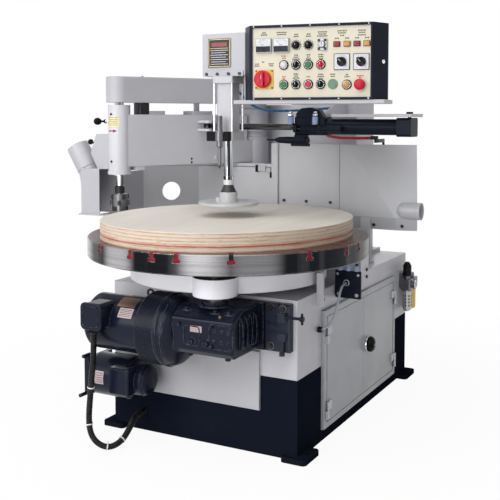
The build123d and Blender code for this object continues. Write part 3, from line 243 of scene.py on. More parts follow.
# pieces from a table: each name has its finish, then rows of one shape and its spots of (right, up, out, turn)
def makePieces(seat, table, body="frame"):
    for name, (finishName, *rows) in table.items():
        addPiece(name, [placed for shape, spots in rows for placed in spread(shape, seat, spots)], finishName, body)


atSeat = [(0, 0)]


# shader helpers: values and links go into sockets by name or number
def feed(tree, sockets, values):
    for name, value in values.items():
        if isinstance(value, bpy.types.NodeSocket):
            tree.links.new(value, sockets[name])
        else:
            sockets[name].default_value = value


# one node with its inputs and settings, giving back its outputs
def addNode(tree, kind, inputs=None, **settings):
    made = tree.nodes.new(kind)
    for name, value in settings.items():
        setattr(made, name, value)
    feed(tree, made.inputs, inputs or {})
    return made.outputs


def noiseOf(tree, vector, scale, detail=2.0, rough=0.5):
    inputs = {"Vector": vector, "Scale": scale, "Detail": detail, "Roughness": rough}
    return addNode(tree, "ShaderNodeTexNoise", inputs)["Fac"]


def rangeOf(tree, value, low, high, toLow=0.0, toHigh=1.0, kind="LINEAR"):
    inputs = {"Value": value, "From Min": low, "From Max": high, "To Min": toLow, "To Max": toHigh}
    return addNode(tree, "ShaderNodeMapRange", inputs, interpolation_type=kind)["Result"]


def mathOf(tree, operation, first, second=0.0):
    return addNode(tree, "ShaderNodeMath", {0: first, 1: second}, operation=operation)[0]


def timesOf(tree, first, second):
    return mathOf(tree, "MULTIPLY", first, second)


def vectorOf(tree, operation, first, second=(0, 0, 0)):
    outputs = addNode(tree, "ShaderNodeVectorMath", {0: first, 1: second}, operation=operation)
    return outputs["Value" if operation in ("DOT_PRODUCT", "LENGTH") else "Vector"]


def partsOf(tree, vector):
    return addNode(tree, "ShaderNodeSeparateXYZ", {0: vector})


def mixOf(tree, factor, first, second, blendType="MIX"):
    inputs = {0: factor, 6: first, 7: second}
    return addNode(tree, "ShaderNodeMix", inputs, data_type="RGBA", blend_type=blendType)[2]


def objectPlace(tree, shift=(0, 0, 0), scale=(1, 1, 1), turn=(0, 0, 0)):
    place = addNode(tree, "ShaderNodeTexCoord")["Object"]
    inputs = {"Vector": place, "Location": shift, "Rotation": turn, "Scale": scale}
    return addNode(tree, "ShaderNodeMapping", inputs, vector_type="POINT")["Vector"]


# how far a face looks up: the third number of its normal
def normalUp(tree):
    return partsOf(tree, addNode(tree, "ShaderNodeTexCoord")["Normal"])["Z"]


def bumpOf(tree, height, strength, distance, normal):
    inputs = {"Height": height, "Strength": strength, "Distance": distance, "Normal": normal}
    return addNode(tree, "ShaderNodeBump", inputs)["Normal"]


def rgba(color):
    return (color[0], color[1], color[2], 1.0)


def newGroup(name, inputs, outputs):
    tree = bpy.data.node_groups.new(name, "ShaderNodeTree")
    for socketName, kind, value in inputs:
        socket = tree.interface.new_socket(socketName, in_out="INPUT", socket_type=kind)
        socket.default_value = value
    for socketName, kind in outputs:
        tree.interface.new_socket(socketName, in_out="OUTPUT", socket_type=kind)
    return tree, tree.nodes.new("NodeGroupInput").outputs, tree.nodes.new("NodeGroupOutput").inputs


floatSocket, colorSocket, vectorSocket = "NodeSocketFloat", "NodeSocketColor", "NodeSocketVector"
skinOutputs = [("Color", colorSocket), ("Roughness", floatSocket), ("Height", floatSocket)]

# sprayed enamel: broad cloudiness, faint runs, small specks and an orange-peel height
tree, given, made = newGroup("enamelCoat", [
    ("Paint", colorSocket, (0.5, 0.5, 0.5, 1)), ("Shade", colorSocket, (0.4, 0.4, 0.4, 1)),
    ("Peel", floatSocket, 320.0), ("Dull", floatSocket, 0.4)], skinOutputs)
enamelGroup = tree
place = objectPlace(tree)
cloud = noiseOf(tree, place, 2.4, 4, 0.55)
runs = noiseOf(tree, objectPlace(tree, scale=(1, 1, 0.12)), 22, 3, 0.6)
speck = noiseOf(tree, place, 240, 1, 0.4)
color = mixOf(tree, rangeOf(tree, cloud, 0.36, 0.68), given["Paint"], given["Shade"])
color = mixOf(tree, rangeOf(tree, runs, 0.55, 0.8, 0, 0.35), color, given["Shade"])
feed(tree, made, {
    "Color": mixOf(tree, rangeOf(tree, speck, 0.7, 0.78, 0, 0.3), color, given["Shade"]),
    "Roughness": mathOf(tree, "ADD", given["Dull"], rangeOf(tree, cloud, 0.3, 0.7, -0.05, 0.09)),
    "Height": noiseOf(tree, place, given["Peel"])})

# edges: how far a rounded normal leans from the true one, and that rounded normal; the lighter colour laid along the
# edges is wear, and on the drive's casting also painted highlights
tree, given, made = newGroup(
    "edgeWearAndGlint", [("Radius", floatSocket, 0.003)], [("Edge", floatSocket), ("Normal", vectorSocket)])
edgeGroup = tree
rounded = addNode(tree, "ShaderNodeBevel", {"Radius": given["Radius"]}, samples=4)["Normal"]
agreeing = vectorOf(tree, "DOT_PRODUCT", rounded, addNode(tree, "ShaderNodeNewGeometry")["Normal"])
broken = rangeOf(tree, noiseOf(tree, objectPlace(tree), 70, 3, 0.6), 0.38, 0.62)
feed(tree, made, {"Edge": timesOf(tree, rangeOf(tree, agreeing, 0.99, 0.85), broken), "Normal": rounded})

# oil and dust: patches that thin out with height above the floor
tree, given, made = newGroup(
    "shopSoil", [("Top", floatSocket, 0.6), ("Amount", floatSocket, 0.5)], [("Mask", floatSocket)])
soilGroup = tree
lowness = rangeOf(tree, partsOf(tree, objectPlace(tree))["Z"], 0.0, given["Top"], 1.0, 0.0)
patch = rangeOf(tree, noiseOf(tree, objectPlace(tree), 9, 6, 0.65), 0.42, 0.7)
feed(tree, made, {"Mask": timesOf(tree, timesOf(tree, lowness, patch), given["Amount"])})

# fine tool marks: noise stretched so that only two of its directions change quickly
tree, given, made = newGroup(
    "toolMarks", [("Vector", vectorSocket, (0, 0, 0)), ("Fine", floatSocket, 400.0)],
    [("Mark", floatSocket), ("Stain", floatSocket)])
markGroup = tree
feed(tree, made, {"Mark": noiseOf(tree, given["Vector"], given["Fine"], 3),
                  "Stain": noiseOf(tree, objectPlace(tree), 6, 5, 0.6)})

# moulded plastic: slight colour drift and a spark-eroded grain
tree, given, made = newGroup("mouldedSkin", [
    ("Tint", colorSocket, (0.1, 0.1, 0.1, 1)), ("Grain", floatSocket, 900.0), ("Dull", floatSocket, 0.35)],
    skinOutputs)
plasticGroup = tree
place = objectPlace(tree)
drift = noiseOf(tree, place, 40, 3, 0.5)
lighter = mixOf(tree, 0.02, mixOf(tree, 1.0, given["Tint"], (1.25, 1.25, 1.25, 1), "MULTIPLY"), (1, 1, 1, 1))
feed(tree, made, {
    "Color": mixOf(tree, rangeOf(tree, drift, 0.35, 0.75), given["Tint"], lighter),
    "Roughness": mathOf(tree, "ADD", given["Dull"], rangeOf(tree, drift, 0.3, 0.7, -0.06, 0.08)),
    "Height": noiseOf(tree, place, given["Grain"])})


def useGroup(tree, group, **inputs):
    return addNode(tree, "ShaderNodeGroup", inputs, node_tree=group)


def newMaterial(name):
    material = bpy.data.materials.new(name)
    material.use_nodes = True
    finish[name] = material
    return material.node_tree, material.node_tree.nodes["Principled BSDF"].inputs


# a colour that changes to a second one along the edges, for wear and, on the drive, painted highlights
def edgedColor(tree, edge, share, color, wearAndGlintTone):
    return mixOf(tree, timesOf(tree, edge["Edge"], share), color, rgba(wearAndGlintTone))


def enamelPaint(name, paint, shade, wearAndGlintTone, dull=0.4, peel=320.0, radius=0.003, wearAndGlintShare=0.5, soil=0.0, soilTop=0.6,
                bump=0.12, gloss=0.5, coat=0.12, soilTint=(0.10, 0.085, 0.07)):
    tree, shader = newMaterial(name)
    layer = useGroup(tree, enamelGroup, Paint=rgba(paint), Shade=rgba(shade), Peel=peel, Dull=dull)
    edge = useGroup(tree, edgeGroup, Radius=radius)
    dirt = useGroup(tree, soilGroup, Top=soilTop, Amount=soil)
    color = edgedColor(tree, edge, wearAndGlintShare, layer["Color"], wearAndGlintTone)
    feed(tree, shader, {
        "Base Color": mixOf(tree, dirt["Mask"], color, rgba(soilTint)), "Roughness": layer["Roughness"],
        "Specular IOR Level": gloss, "Coat Weight": coat, "Coat Roughness": 0.25,
        "Normal": bumpOf(tree, layer["Height"], bump, 0.0008, edge["Normal"])})


def mouldedPlastic(name, tint, dull=0.35, grain=900.0, radius=0.0012, coat=0.0, gloss=0.3):
    tree, shader = newMaterial(name)
    skin = useGroup(tree, plasticGroup, Tint=rgba(tint), Grain=grain, Dull=dull)
    edge = useGroup(tree, edgeGroup, Radius=radius)
    wearAndGlintTone = [min(1.0, channel * 1.5 + 0.02) for channel in tint]
    feed(tree, shader, {
        "Base Color": edgedColor(tree, edge, 0.35, skin["Color"], wearAndGlintTone), "Roughness": skin["Roughness"],
        "Specular IOR Level": gloss, "Coat Weight": coat,
        "Normal": bumpOf(tree, skin["Height"], 0.08, 0.0003, edge["Normal"])})


# what bare metals share: roughness follows the marks, which also stand up a little
def metalSkin(tree, shader, edge, color, wearAndGlintTone, mark, rough, bump):
    feed(tree, shader, {
        "Base Color": edgedColor(tree, edge, 0.6, color, wearAndGlintTone), "Metallic": 1.0,
        "Roughness": rangeOf(tree, mark, 0.3, 0.7, *rough), "Normal": bumpOf(tree, mark, bump, 0.0002, edge["Normal"])})


# bare metal with marks along the part: stretch is large across the marks and small along them
def bareMetal(name, metal, stained, rough, stretch=(1, 1, 1), fine=300.0, bump=0.08, stain=0.6):
    tree, shader = newMaterial(name)
    marks = useGroup(tree, markGroup, Vector=objectPlace(tree, scale=stretch), Fine=fine)
    edge = useGroup(tree, edgeGroup, Radius=0.0015)
    color = mixOf(tree, rangeOf(tree, marks["Stain"], 0.4, 0.72, 0, stain), rgba(metal), rgba(stained))
    color = mixOf(tree, rangeOf(tree, marks["Mark"], 0.35, 0.75, 0, 0.35), color, rgba(stained))
    wearAndGlintTone = [min(1.0, channel * 1.25) for channel in metal]
    metalSkin(tree, shader, edge, color, wearAndGlintTone, marks["Mark"], (rough - 0.07, rough + 0.09), bump)


# a ground rod: its colour carries painted reflections, dark and bright bands along it, so the noise hardly changes in
# the rod's direction
def reflectionBandRod(name, bright, dark, rough, stretch, bandScale):
    tree, shader = newMaterial(name)
    marks = useGroup(tree, markGroup, Vector=objectPlace(tree, scale=stretch), Fine=120.0)
    reflectionBands = noiseOf(tree, objectPlace(tree, scale=stretch), bandScale, 1.5, 0.45)
    edge = useGroup(tree, edgeGroup, Radius=0.0015)
    color = mixOf(tree, rangeOf(tree, reflectionBands, 0.44, 0.56), rgba(bright), rgba(dark))
    color = mixOf(tree, rangeOf(tree, marks["Stain"], 0.5, 0.75, 0, 0.3), color, rgba(dark))
    metalSkin(tree, shader, edge, color, (0.85, 0.85, 0.86), marks["Mark"], (rough - 0.05, rough + 0.08), 0.03)


# one inside a zone: the product of its slabs (origin, direction, low, high) and upright pillars (x, y, radius)
def zoneMask(tree, zone, soft=0.0002):
    inside = 1.0
    for part in zone:
        if len(part) == 4:
            origin, direction, low, high = part
            away = objectPlace(tree, shift=[-value for value in origin])
            measured = vectorOf(tree, "DOT_PRODUCT", away, direction)
            inside = timesOf(tree, inside, rangeOf(tree, measured, low - soft, low + soft))
        else:
            x, y, high = part
            away = vectorOf(tree, "MULTIPLY", objectPlace(tree, shift=(-x, -y, 0)), (1, 1, 0))
            measured = vectorOf(tree, "LENGTH", away)
        inside = timesOf(tree, inside, rangeOf(tree, measured, high + soft, high - soft))
    return inside


# a slab between two places along one axis, measured from a middle
def slab(axis, low, high, middle=(0, 0, 0)):
    return middle, [float(number == axis) for number in range(3)], low, high


# a second finish laid over the first inside a zone, less what lies in a smaller zone
def overlay(name, zone, color, rough, metallic, gloss=None, without=()):
    tree = finish[name].node_tree
    shader = tree.nodes["Principled BSDF"].inputs
    inside = zoneMask(tree, zone)
    if without:
        inside = timesOf(tree, inside, mathOf(tree, "SUBTRACT", 1.0, zoneMask(tree, without)))
    grainy = rangeOf(tree, noiseOf(tree, objectPlace(tree), 90, 3, 0.55), 0.35, 0.7)
    second = mixOf(tree, grainy, rgba(color), rgba([channel * 0.8 for channel in color]))
    before = {name: shader[name].links[0].from_socket if shader[name].links else shader[name].default_value
              for name in ("Base Color", "Roughness", "Metallic")}
    feed(tree, shader, {
        "Base Color": mixOf(tree, inside, before["Base Color"], second),
        "Roughness": rangeOf(tree, inside, 0, 1, before["Roughness"], rough),
        "Metallic": rangeOf(tree, inside, 0, 1, before["Metallic"], metallic)})
    if gloss is not None:
        shader["Specular IOR Level"].default_value = gloss


# paints: the coat, its cloudy shade, its lighter edges (wear, and on the drive painted highlights), then what differs
# from a plain coat
darkSoil = (0.020, 0.019, 0.018)
castCoat = {"dull": 0.38, "peel": 260}
darkCoat = {"coat": 0.0, "soilTint": darkSoil}
ironCoat = {**darkCoat, "peel": 160, "soil": 0.25, "soilTop": 0.7, "bump": 0.25}
paints = {
    "grayEnamel": ((0.56, 0.56, 0.60), (0.51, 0.51, 0.55), (0.66, 0.66, 0.67), {"soil": 0.25, "soilTop": 0.75}),
    # the next four are the gray paint made lighter for the swing arm, darker for the belt cover, much lighter for the
    # gear guard under the table, and darker for the overarm: painted light and painted shade for how light falls on
    # them
    "armLitGray": ((0.60, 0.60, 0.64), (0.55, 0.55, 0.59), (0.68, 0.68, 0.70), castCoat),
    "coverShadedGray": ((0.45, 0.45, 0.485), (0.41, 0.41, 0.44), (0.68, 0.68, 0.70), castCoat),
    "gearGuardLitGray": ((0.86, 0.86, 0.90), (0.80, 0.80, 0.84), (0.88, 0.88, 0.89), castCoat),
    "overarmShadedGray": ((0.42, 0.42, 0.45), (0.38, 0.38, 0.41), (0.66, 0.66, 0.67), {}),
    "paleEnamel": ((0.46, 0.46, 0.49), (0.42, 0.42, 0.45), (0.74, 0.74, 0.75), {"dull": 0.36, "peel": 420}),
    "doorEnamel": ((0.375, 0.385, 0.415), (0.335, 0.345, 0.37), (0.80, 0.80, 0.82), {
        "dull": 0.36, "peel": 420, "radius": 0.005, "wearAndGlintShare": 0.8, "soil": 0.15}),
    "guardSheet": ((0.53, 0.535, 0.56), (0.47, 0.475, 0.50), (0.66, 0.66, 0.67), {"dull": 0.42, "wearAndGlintShare": 0.6}),
    "tubePaint": ((0.47, 0.47, 0.50), (0.43, 0.43, 0.46), (0.74, 0.74, 0.75), {"dull": 0.32, "peel": 420}),
    "satinDisc": ((0.50, 0.50, 0.51), (0.45, 0.45, 0.46), (0.70, 0.70, 0.70), {
        "dull": 0.3, "peel": 200, "radius": 0.002}),
    "creamSheet": ((0.59, 0.555, 0.44), (0.56, 0.525, 0.415), (0.64, 0.62, 0.54), {
        "dull": 0.42, "peel": 700, "radius": 0.0008}),
    "pinkPlate": ((0.50, 0.40, 0.41), (0.44, 0.34, 0.35), (0.60, 0.55, 0.55), {"peel": 500, "radius": 0.0006}),
    "navyPlinth": ((0.0068, 0.0092, 0.0180), (0.0095, 0.0120, 0.0210), (0.035, 0.04, 0.055), {
        **darkCoat, "dull": 0.5, "soil": 0.22, "soilTop": 0.2, "gloss": 0.0}),
    "navyConsole": ((0.010, 0.013, 0.024), (0.015, 0.018, 0.030), (0.10, 0.11, 0.13), {
        "dull": 0.33, "peel": 500, "radius": 0.002, "gloss": 0.07, "coat": 0.0}),
    # the drive's pale edge colour is partly wear and partly painted highlights, glints along the casting's edges
    "driveEnamel": ((0.0070, 0.0092, 0.0225), (0.0066, 0.0086, 0.0210), (0.32, 0.34, 0.39), {
        **darkCoat, "dull": 0.20, "peel": 130, "radius": 0.005, "wearAndGlintShare": 0.36, "soil": 0.12, "soilTop": 0.9,
        "bump": 0.35, "gloss": 0.17}),
    "slateIron": ((0.0235, 0.0285, 0.0500), (0.0210, 0.0255, 0.0420), (0.12, 0.125, 0.14), {
        **ironCoat, "dull": 0.28, "gloss": 0.2}),
    "blackIron": ((0.0085, 0.0115, 0.0225), (0.0105, 0.0135, 0.0250), (0.075, 0.08, 0.095), {
        **ironCoat, "dull": 0.30, "gloss": 0.09}),
}
for name, (paint, shade, wearAndGlintTone, differs) in paints.items():
    enamelPaint(name, paint, shade, wearAndGlintTone, **differs)

# bare metals: clean, stained, roughness, then what differs from a plain finish
polished = {"fine": 90, "bump": 0.02}
metals = {
    "zincBolt": ((0.52, 0.52, 0.53), (0.30, 0.29, 0.28), 0.36, {"fine": 160}),
    "blackOxide": ((0.045, 0.045, 0.05), (0.022, 0.022, 0.026), 0.38, {"fine": 160}),
    "grayPointer": ((0.16, 0.16, 0.17), (0.05, 0.05, 0.055), 0.26, {"stretch": (1, 1, 0.1), "fine": 160}),
    "chromePart": ((0.72, 0.73, 0.75), (0.50, 0.51, 0.53), 0.12, {**polished, "stain": 0.25}),
    "toothSteel": ((0.12, 0.115, 0.115), (0.05, 0.045, 0.042), 0.34, {"fine": 220, "stain": 0.8}),
    "brassPart": ((0.62, 0.42, 0.14), (0.40, 0.25, 0.08), 0.28, {"fine": 160, "stain": 0.5}),
    "cutterSteel": ((0.060, 0.060, 0.064), (0.020, 0.020, 0.022), 0.28, {"fine": 240}),
    "knobFinish": ((0.70, 0.71, 0.73), (0.46, 0.47, 0.49), 0.14, polished),
    "blackBall": ((0.66, 0.67, 0.69), (0.40, 0.40, 0.42), 0.15, polished),
    "serviceAlloy": ((0.17, 0.17, 0.185), (0.02, 0.02, 0.022), 0.30, {"fine": 260, "stain": 0.8, "bump": 0.2}),
    "plateSilver": ((0.30, 0.30, 0.32), (0.24, 0.24, 0.26), 0.36, {"fine": 200, "stain": 0.3}),
    "goldInk": ((0.62, 0.48, 0.22), (0.46, 0.34, 0.14), 0.36, {"fine": 200}),
    "copperPlate": ((0.36, 0.23, 0.18), (0.24, 0.14, 0.10), 0.36, {"fine": 200}),
}
for name, (metal, stained, rough, differs) in metals.items():
    bareMetal(name, metal, stained, rough, **differs)
reflectionBandRod("pressRod", (0.74, 0.75, 0.77), (0.03, 0.03, 0.035), 0.12, (1, 1, 0.02), 70)
reflectionBandRod("spindleSteel", (0.70, 0.70, 0.72), (0.10, 0.10, 0.11), 0.16, (1, 1, 0.05), 60)
reflectionBandRod("darkRam", (0.040, 0.040, 0.044), (0.008, 0.008, 0.010), 0.18, (0.05, 1, 1), 60)

# plastics: tint, roughness, then what differs from a plain moulding
lens, cordSkin = {"coat": 0.2}, {"grain": 500}
plastics = {
    "blackKnob": ((0.0028, 0.0028, 0.0034), 0.18, {"gloss": 0.08}),
    "domeBlack": ((0.0022, 0.0022, 0.0028), 0.12, {"gloss": 0.05}),
    "redKnob": ((0.46, 0.004, 0.022), 0.26, {"gloss": 0.18}), "greenButton": ((0.008, 0.125, 0.04), 0.28, {}),
    "crimsonButton": ((0.34, 0.006, 0.035), 0.28, {}), "tieNylon": ((0.72, 0.72, 0.70), 0.4, {}),
    "redFiller": ((0.175, 0.005, 0.014), 0.42, {"radius": 0.002, "gloss": 0.1}),
    "blackHose": ((0.0025, 0.0025, 0.003), 0.22, {**cordSkin, "gloss": 0.12}),
    "grayCable": ((0.36, 0.37, 0.46), 0.42, cordSkin),
    "blueHose": ((0.01, 0.14, 0.34), 0.25, cordSkin), "redCable": ((0.42, 0.012, 0.03), 0.32, cordSkin),
    "paperWhite": ((0.56, 0.57, 0.60), 0.45, {}), "scaleBlack": ((0.012, 0.012, 0.015), 0.45, {}),
    "legendBrown": ((0.035, 0.022, 0.010), 0.5, {}), "legendRed": ((0.42, 0.03, 0.02), 0.5, {}),
    "meterBlue": ((0.009, 0.011, 0.018), 0.3, {"gloss": 0.15}), "redLens": ((0.18, 0.003, 0.012), 0.2, lens),
    "amberLens": ((0.40, 0.19, 0.035), 0.22, lens), "whiteLens": ((0.50, 0.49, 0.53), 0.22, lens),
    "blankGreen": ((0.11, 0.185, 0.135), 0.45, {}), "plateYellow": ((0.60, 0.40, 0.05), 0.4, {}),
    "paleBlue": ((0.30, 0.38, 0.60), 0.3, {}), "labelYellow": ((0.66, 0.60, 0.36), 0.42, {}),
    "arrowRed": ((0.28, 0.012, 0.05), 0.4, {}),
}
for name, (tint, dull, differs) in plastics.items():
    mouldedPlastic(name, tint, dull, **differs)

# second finishes on one node: zinc hinges, the collars of the press rod and the spindle, the cutter's body, the
# pointer's clamp, chrome tie rods, black knob ends, the air unit's metal and brass bowls, and the dark filler in front
tableMiddle = (0, -0.445, 0)
pointerClamp = {"high": (1.2755, 1.3185), "stem": (0.0, -0.523, 0.0206)}
holdTube = {"high": (1.3185, 1.5265), "halfWide": 0.0392, "halfDeep": 0.0412}
lockBall = {"head": (-0.664, -0.350, 1.359), "outward": (-0.9233, -0.3840, 0), "reach": (0.0650, 0.2)}
airBowls = {"high": (0.0, 0.468), "rear": (0.636, 0.70)}
filler = {"turn": math.radians(-59.5), "high": (0.8465, 0.90), "half": 0.03}
fillerWay = (math.cos(filler["turn"]), math.sin(filler["turn"]), 0)
fillerAcross = (-fillerWay[1], fillerWay[0], 0)
overlay("doorEnamel", [slab(0, 0.4652, 0.60)], (0.40, 0.41, 0.43), 0.35, 0.7)
overlay("pressRod", [slab(2, 0.0, 1.0825)], (0.02, 0.02, 0.022), 0.35, 0.2)
overlay("pressRod", [slab(2, 1.0825, 1.1045)], (0.66, 0.66, 0.66), 0.4, 0.3)
overlay("spindleSteel", [slab(2, 1.0085, 1.0465)], (0.02, 0.02, 0.022), 0.3, 0.6)
overlay("cutterSteel", [(-0.664, -0.350, 0.0385)], (0.19, 0.19, 0.20), 0.30, 0.9)
overlay("grayPointer", [slab(2, *pointerClamp["high"])], (0.005, 0.005, 0.006), 0.35, 0.0, 0.08,
        [pointerClamp["stem"]])
overlay("tubePaint", [slab(2, *holdTube["high"])], (0.70, 0.71, 0.73), 0.18, 1.0, without=[
    slab(0, -holdTube["halfWide"], holdTube["halfWide"], tableMiddle),
    slab(1, -holdTube["halfDeep"], holdTube["halfDeep"], tableMiddle)])
overlay("knobFinish", [slab(0, 0.4735, 0.60)], (0.004, 0.004, 0.005), 0.14, 0.0, 0.07)
overlay("blackBall", [(lockBall["head"], lockBall["outward"], *lockBall["reach"])], (0.004, 0.004, 0.005), 0.16, 0.0,
        0.07)
overlay("serviceAlloy", [slab(2, *airBowls["high"])], (0.46, 0.46, 0.48), 0.28, 0.8)
overlay("serviceAlloy", [slab(2, *airBowls["high"]), slab(1, *airBowls["rear"])], (0.60, 0.42, 0.10), 0.3, 0.6)
overlay("redFiller", [slab(2, *filler["high"]), (tableMiddle, fillerWay, 0, 1),
                      (tableMiddle, fillerAcross, -filler["half"], filler["half"])], (0.012, 0.012, 0.014), 0.4, 0.0)
print("finishes made")

# turntable steel: turned on a lathe, so its marks follow radius and height; its colour is painted reflection, dark all
# round but for painted bright highlights, each a smooth step of the cosine from its own direction (turn, half width,
# share)
tableFinish = {"axis": (0.0, 0.445, 0.0), "steel": (0.66, 0.645, 0.66), "darkReflection": (0.011, 0.012, 0.015),
               "mark": (0.018, 0.018, 0.021), "top": (0.17, 0.105, 0.07), "edge": (0.62, 0.61, 0.61),
               "paintedHighlights": ((-142, 18, 0.95), (-106, 10, 0.8), (-69, 12, 0.46), (-51, 12, 0.34), (42, 10, 0.4),
                         (70, 10, 0.6), (104, 16, 0.9), (148, 9, 0.7), (186, 13, 0.8))}
tree, shader = newMaterial("tableSteel")
centred = objectPlace(tree, shift=tableFinish["axis"])
flat = vectorOf(tree, "MULTIPLY", centred, (1, 1, 0))
turning = {"X": vectorOf(tree, "LENGTH", flat), "Z": partsOf(tree, centred)["Z"]}
marks = useGroup(tree, markGroup, Vector=addNode(tree, "ShaderNodeCombineXYZ", turning)["Vector"], Fine=520.0)
around = vectorOf(tree, "NORMALIZE", flat)
highlightShare = rangeOf(tree, noiseOf(tree, around, 9, 3, 0.5), 0.5, 0.8, 0, 0.12)
for turn, half, share in tableFinish["paintedHighlights"]:
    facing = vectorOf(tree, "DOT_PRODUCT", around, (math.cos(math.radians(turn)), math.sin(math.radians(turn)), 0))
    lobe = rangeOf(tree, facing, math.cos(math.radians(half)), 1.0, 0.0, share, "SMOOTHSTEP")
    highlightShare = mathOf(tree, "MAXIMUM", highlightShare, lobe)
edge = useGroup(tree, edgeGroup, Radius=0.0025)
# painted dark reflection lightened to the steel colour where the painted highlights fall
color = mixOf(tree, highlightShare, rgba(tableFinish["darkReflection"]), rgba(tableFinish["steel"]))
color = mixOf(tree, rangeOf(tree, marks["Mark"], 0.42, 0.7, 0, 0.6), color, rgba(tableFinish["mark"]))
# the top face is tinted brown: a painted reflection of the plywood lying on it
color = mixOf(tree, rangeOf(tree, normalUp(tree), 0.6, 0.9, 0, 0.8), color, rgba(tableFinish["top"]))
feed(tree, shader, {
    "Base Color": mixOf(tree, edge["Edge"], color, rgba(tableFinish["edge"])), "Metallic": 1.0,
    "Roughness": rangeOf(tree, marks["Mark"], 0.3, 0.7, 0.22, 0.38),
    "Normal": bumpOf(tree, marks["Mark"], 0.12, 0.0003, edge["Normal"])})

# plywood: long grain on the faces, glued layers and torn streaks round the edge
plyFinish = {"face": (0.75, 0.705, 0.64), "faceDark": (0.65, 0.60, 0.535), "light": (0.62, 0.54, 0.45),
             "dark": (0.43, 0.245, 0.125), "torn": (0.52, 0.23, 0.095), "glue": (0.40, 0.035, 0.025), "layer": 150.0,
             "wobble": 0.9, "glueAt": 0.8895, "glueHalf": 0.0040, "turn": (0, 0, 0.5)}
tree, shader = newMaterial("plyBoard")
grain = noiseOf(tree, objectPlace(tree, scale=(1, 0.06, 1), turn=plyFinish["turn"]), 60, 5, 0.6)
figure = noiseOf(tree, objectPlace(tree, scale=(1, 0.12, 1), turn=plyFinish["turn"]), 7, 4, 0.6)
face = mixOf(tree, rangeOf(tree, figure, 0.35, 0.7), rgba(plyFinish["face"]), rgba(plyFinish["faceDark"]))
face = mixOf(tree, rangeOf(tree, grain, 0.5, 0.72, 0, 0.4), face, rgba(plyFinish["faceDark"]))
height = partsOf(tree, objectPlace(tree))["Z"]
wobble = timesOf(tree, noiseOf(tree, objectPlace(tree, scale=(1, 1, 6)), 6, 3, 0.5), plyFinish["wobble"])
layered = mathOf(tree, "ADD", timesOf(tree, height, plyFinish["layer"]), wobble)
layerStep = mathOf(tree, "PINGPONG", layered, 1.0)
streak = noiseOf(tree, objectPlace(tree, scale=(1, 1, 30)), 9, 6, 0.7)
torn = noiseOf(tree, objectPlace(tree, scale=(1, 1, 7)), 34, 6, 0.75)
side = mixOf(tree, rangeOf(tree, layerStep, 0.35, 0.65, 0, 0.85), rgba(plyFinish["light"]), rgba(plyFinish["dark"]))
side = mixOf(tree, rangeOf(tree, streak, 0.40, 0.60, 0, 0.85), side, rgba(plyFinish["light"]))
side = mixOf(tree, rangeOf(tree, torn, 0.55, 0.63, 0, 0.8), side, rgba(plyFinish["torn"]))
glueAway = mathOf(tree, "ABSOLUTE", mathOf(tree, "SUBTRACT", height, plyFinish["glueAt"]))
glueLine = rangeOf(tree, glueAway, plyFinish["glueHalf"], plyFinish["glueHalf"] * 0.55)
glueLine = timesOf(tree, glueLine, rangeOf(tree, streak, 0.66, 0.45, 0.35, 1.0))
side = mixOf(tree, glueLine, side, rgba(plyFinish["glue"]))
onFace = rangeOf(tree, mathOf(tree, "ABSOLUTE", normalUp(tree)), 0.45, 0.6)
edge = useGroup(tree, edgeGroup, Radius=0.002)
feed(tree, shader, {
    "Base Color": mixOf(tree, onFace, side, face), "Roughness": rangeOf(tree, grain, 0.3, 0.7, 0.5, 0.66),
    "Normal": bumpOf(tree, mathOf(tree, "ADD", grain, layerStep), 0.15, 0.0004, edge["Normal"])})

# the solids that wear each finish
wearers = {
    "navyPlinth": ["plinth"], "grayEnamel": ["base_body", "column", "pivot_post", "spindle_motor"],
    "overarmShadedGray": ["overarm"], "armLitGray": ["swing_arm"], "coverShadedGray": ["belt_cover"], "gearGuardLitGray": ["gear_guard"],
    "paleEnamel": ["front_panel", "dust_chute"], "doorEnamel": ["cabinet", "door_front", "door_rear"],
    "guardSheet": ["chip_guard"], "driveEnamel": ["drive_motor", "gearbox", "pump_motor"], "slateIron": ["slide_plate"],
    "blackIron": ["clamp_screw", "valve_plate", "swing_cylinder"], "navyConsole": ["control_box"],
    "blackOxide": ["frame_bolts"], "toothSteel": ["ring_gear", "pinion"], "pressRod": ["hold_rod"],
    "satinDisc": ["pressure_disc"], "spindleSteel": ["spindle"], "cutterSteel": ["cutter"], "darkRam": ["cylinder_rod"],
    "grayPointer": ["pointer"], "tubePaint": ["hold_cylinder"], "knobFinish": ["door_knob"], "blackBall": ["lock_knob"],
    "serviceAlloy": ["air_unit"], "redKnob": ["main_switch", "stop_button", "selector_lock"],
    "blackKnob": ["regulator_knob", "selector_feed", "selector_table", "selector_press", "cam_switch_left",
                  "cam_switch_right", "speed_knob_left", "speed_knob_right"],
    "greenButton": ["start_button_upper", "start_button_lower"], "crimsonButton": ["halt_button"],
    "creamSheet": ["control_panel"], "redFiller": ["slot_fillers"], "zincBolt": ["panel_fittings"],
    "tableSteel": ["table"], "plyBoard": ["template_board", "work_board"],
}
for finishName, names in wearers.items():
    for name in names:
        nodes[name].data.materials.clear()
        nodes[name].data.materials.append(finish[finishName])
print("table and boards finished")


# a cord's line: a NURBS spline with the route's points as its control points
def cordCurve(name, route, radius=0.0):
    curve = bpy.data.curves.new(name, "CURVE")
    curve.dimensions = "3D"
    curve.resolution_u = 16
    curve.bevel_depth = radius
    curve.bevel_resolution = 6
    curve.use_fill_caps = True
    spline = curve.splines.new("NURBS")
    spline.points.add(len(route) - 1)
    spline.points.foreach_set("co", np.column_stack([np.array(route), np.ones(len(route))]).ravel())
    spline.order_u = 3
    spline.use_endpoint_u = True
    return addObject(name, curve)


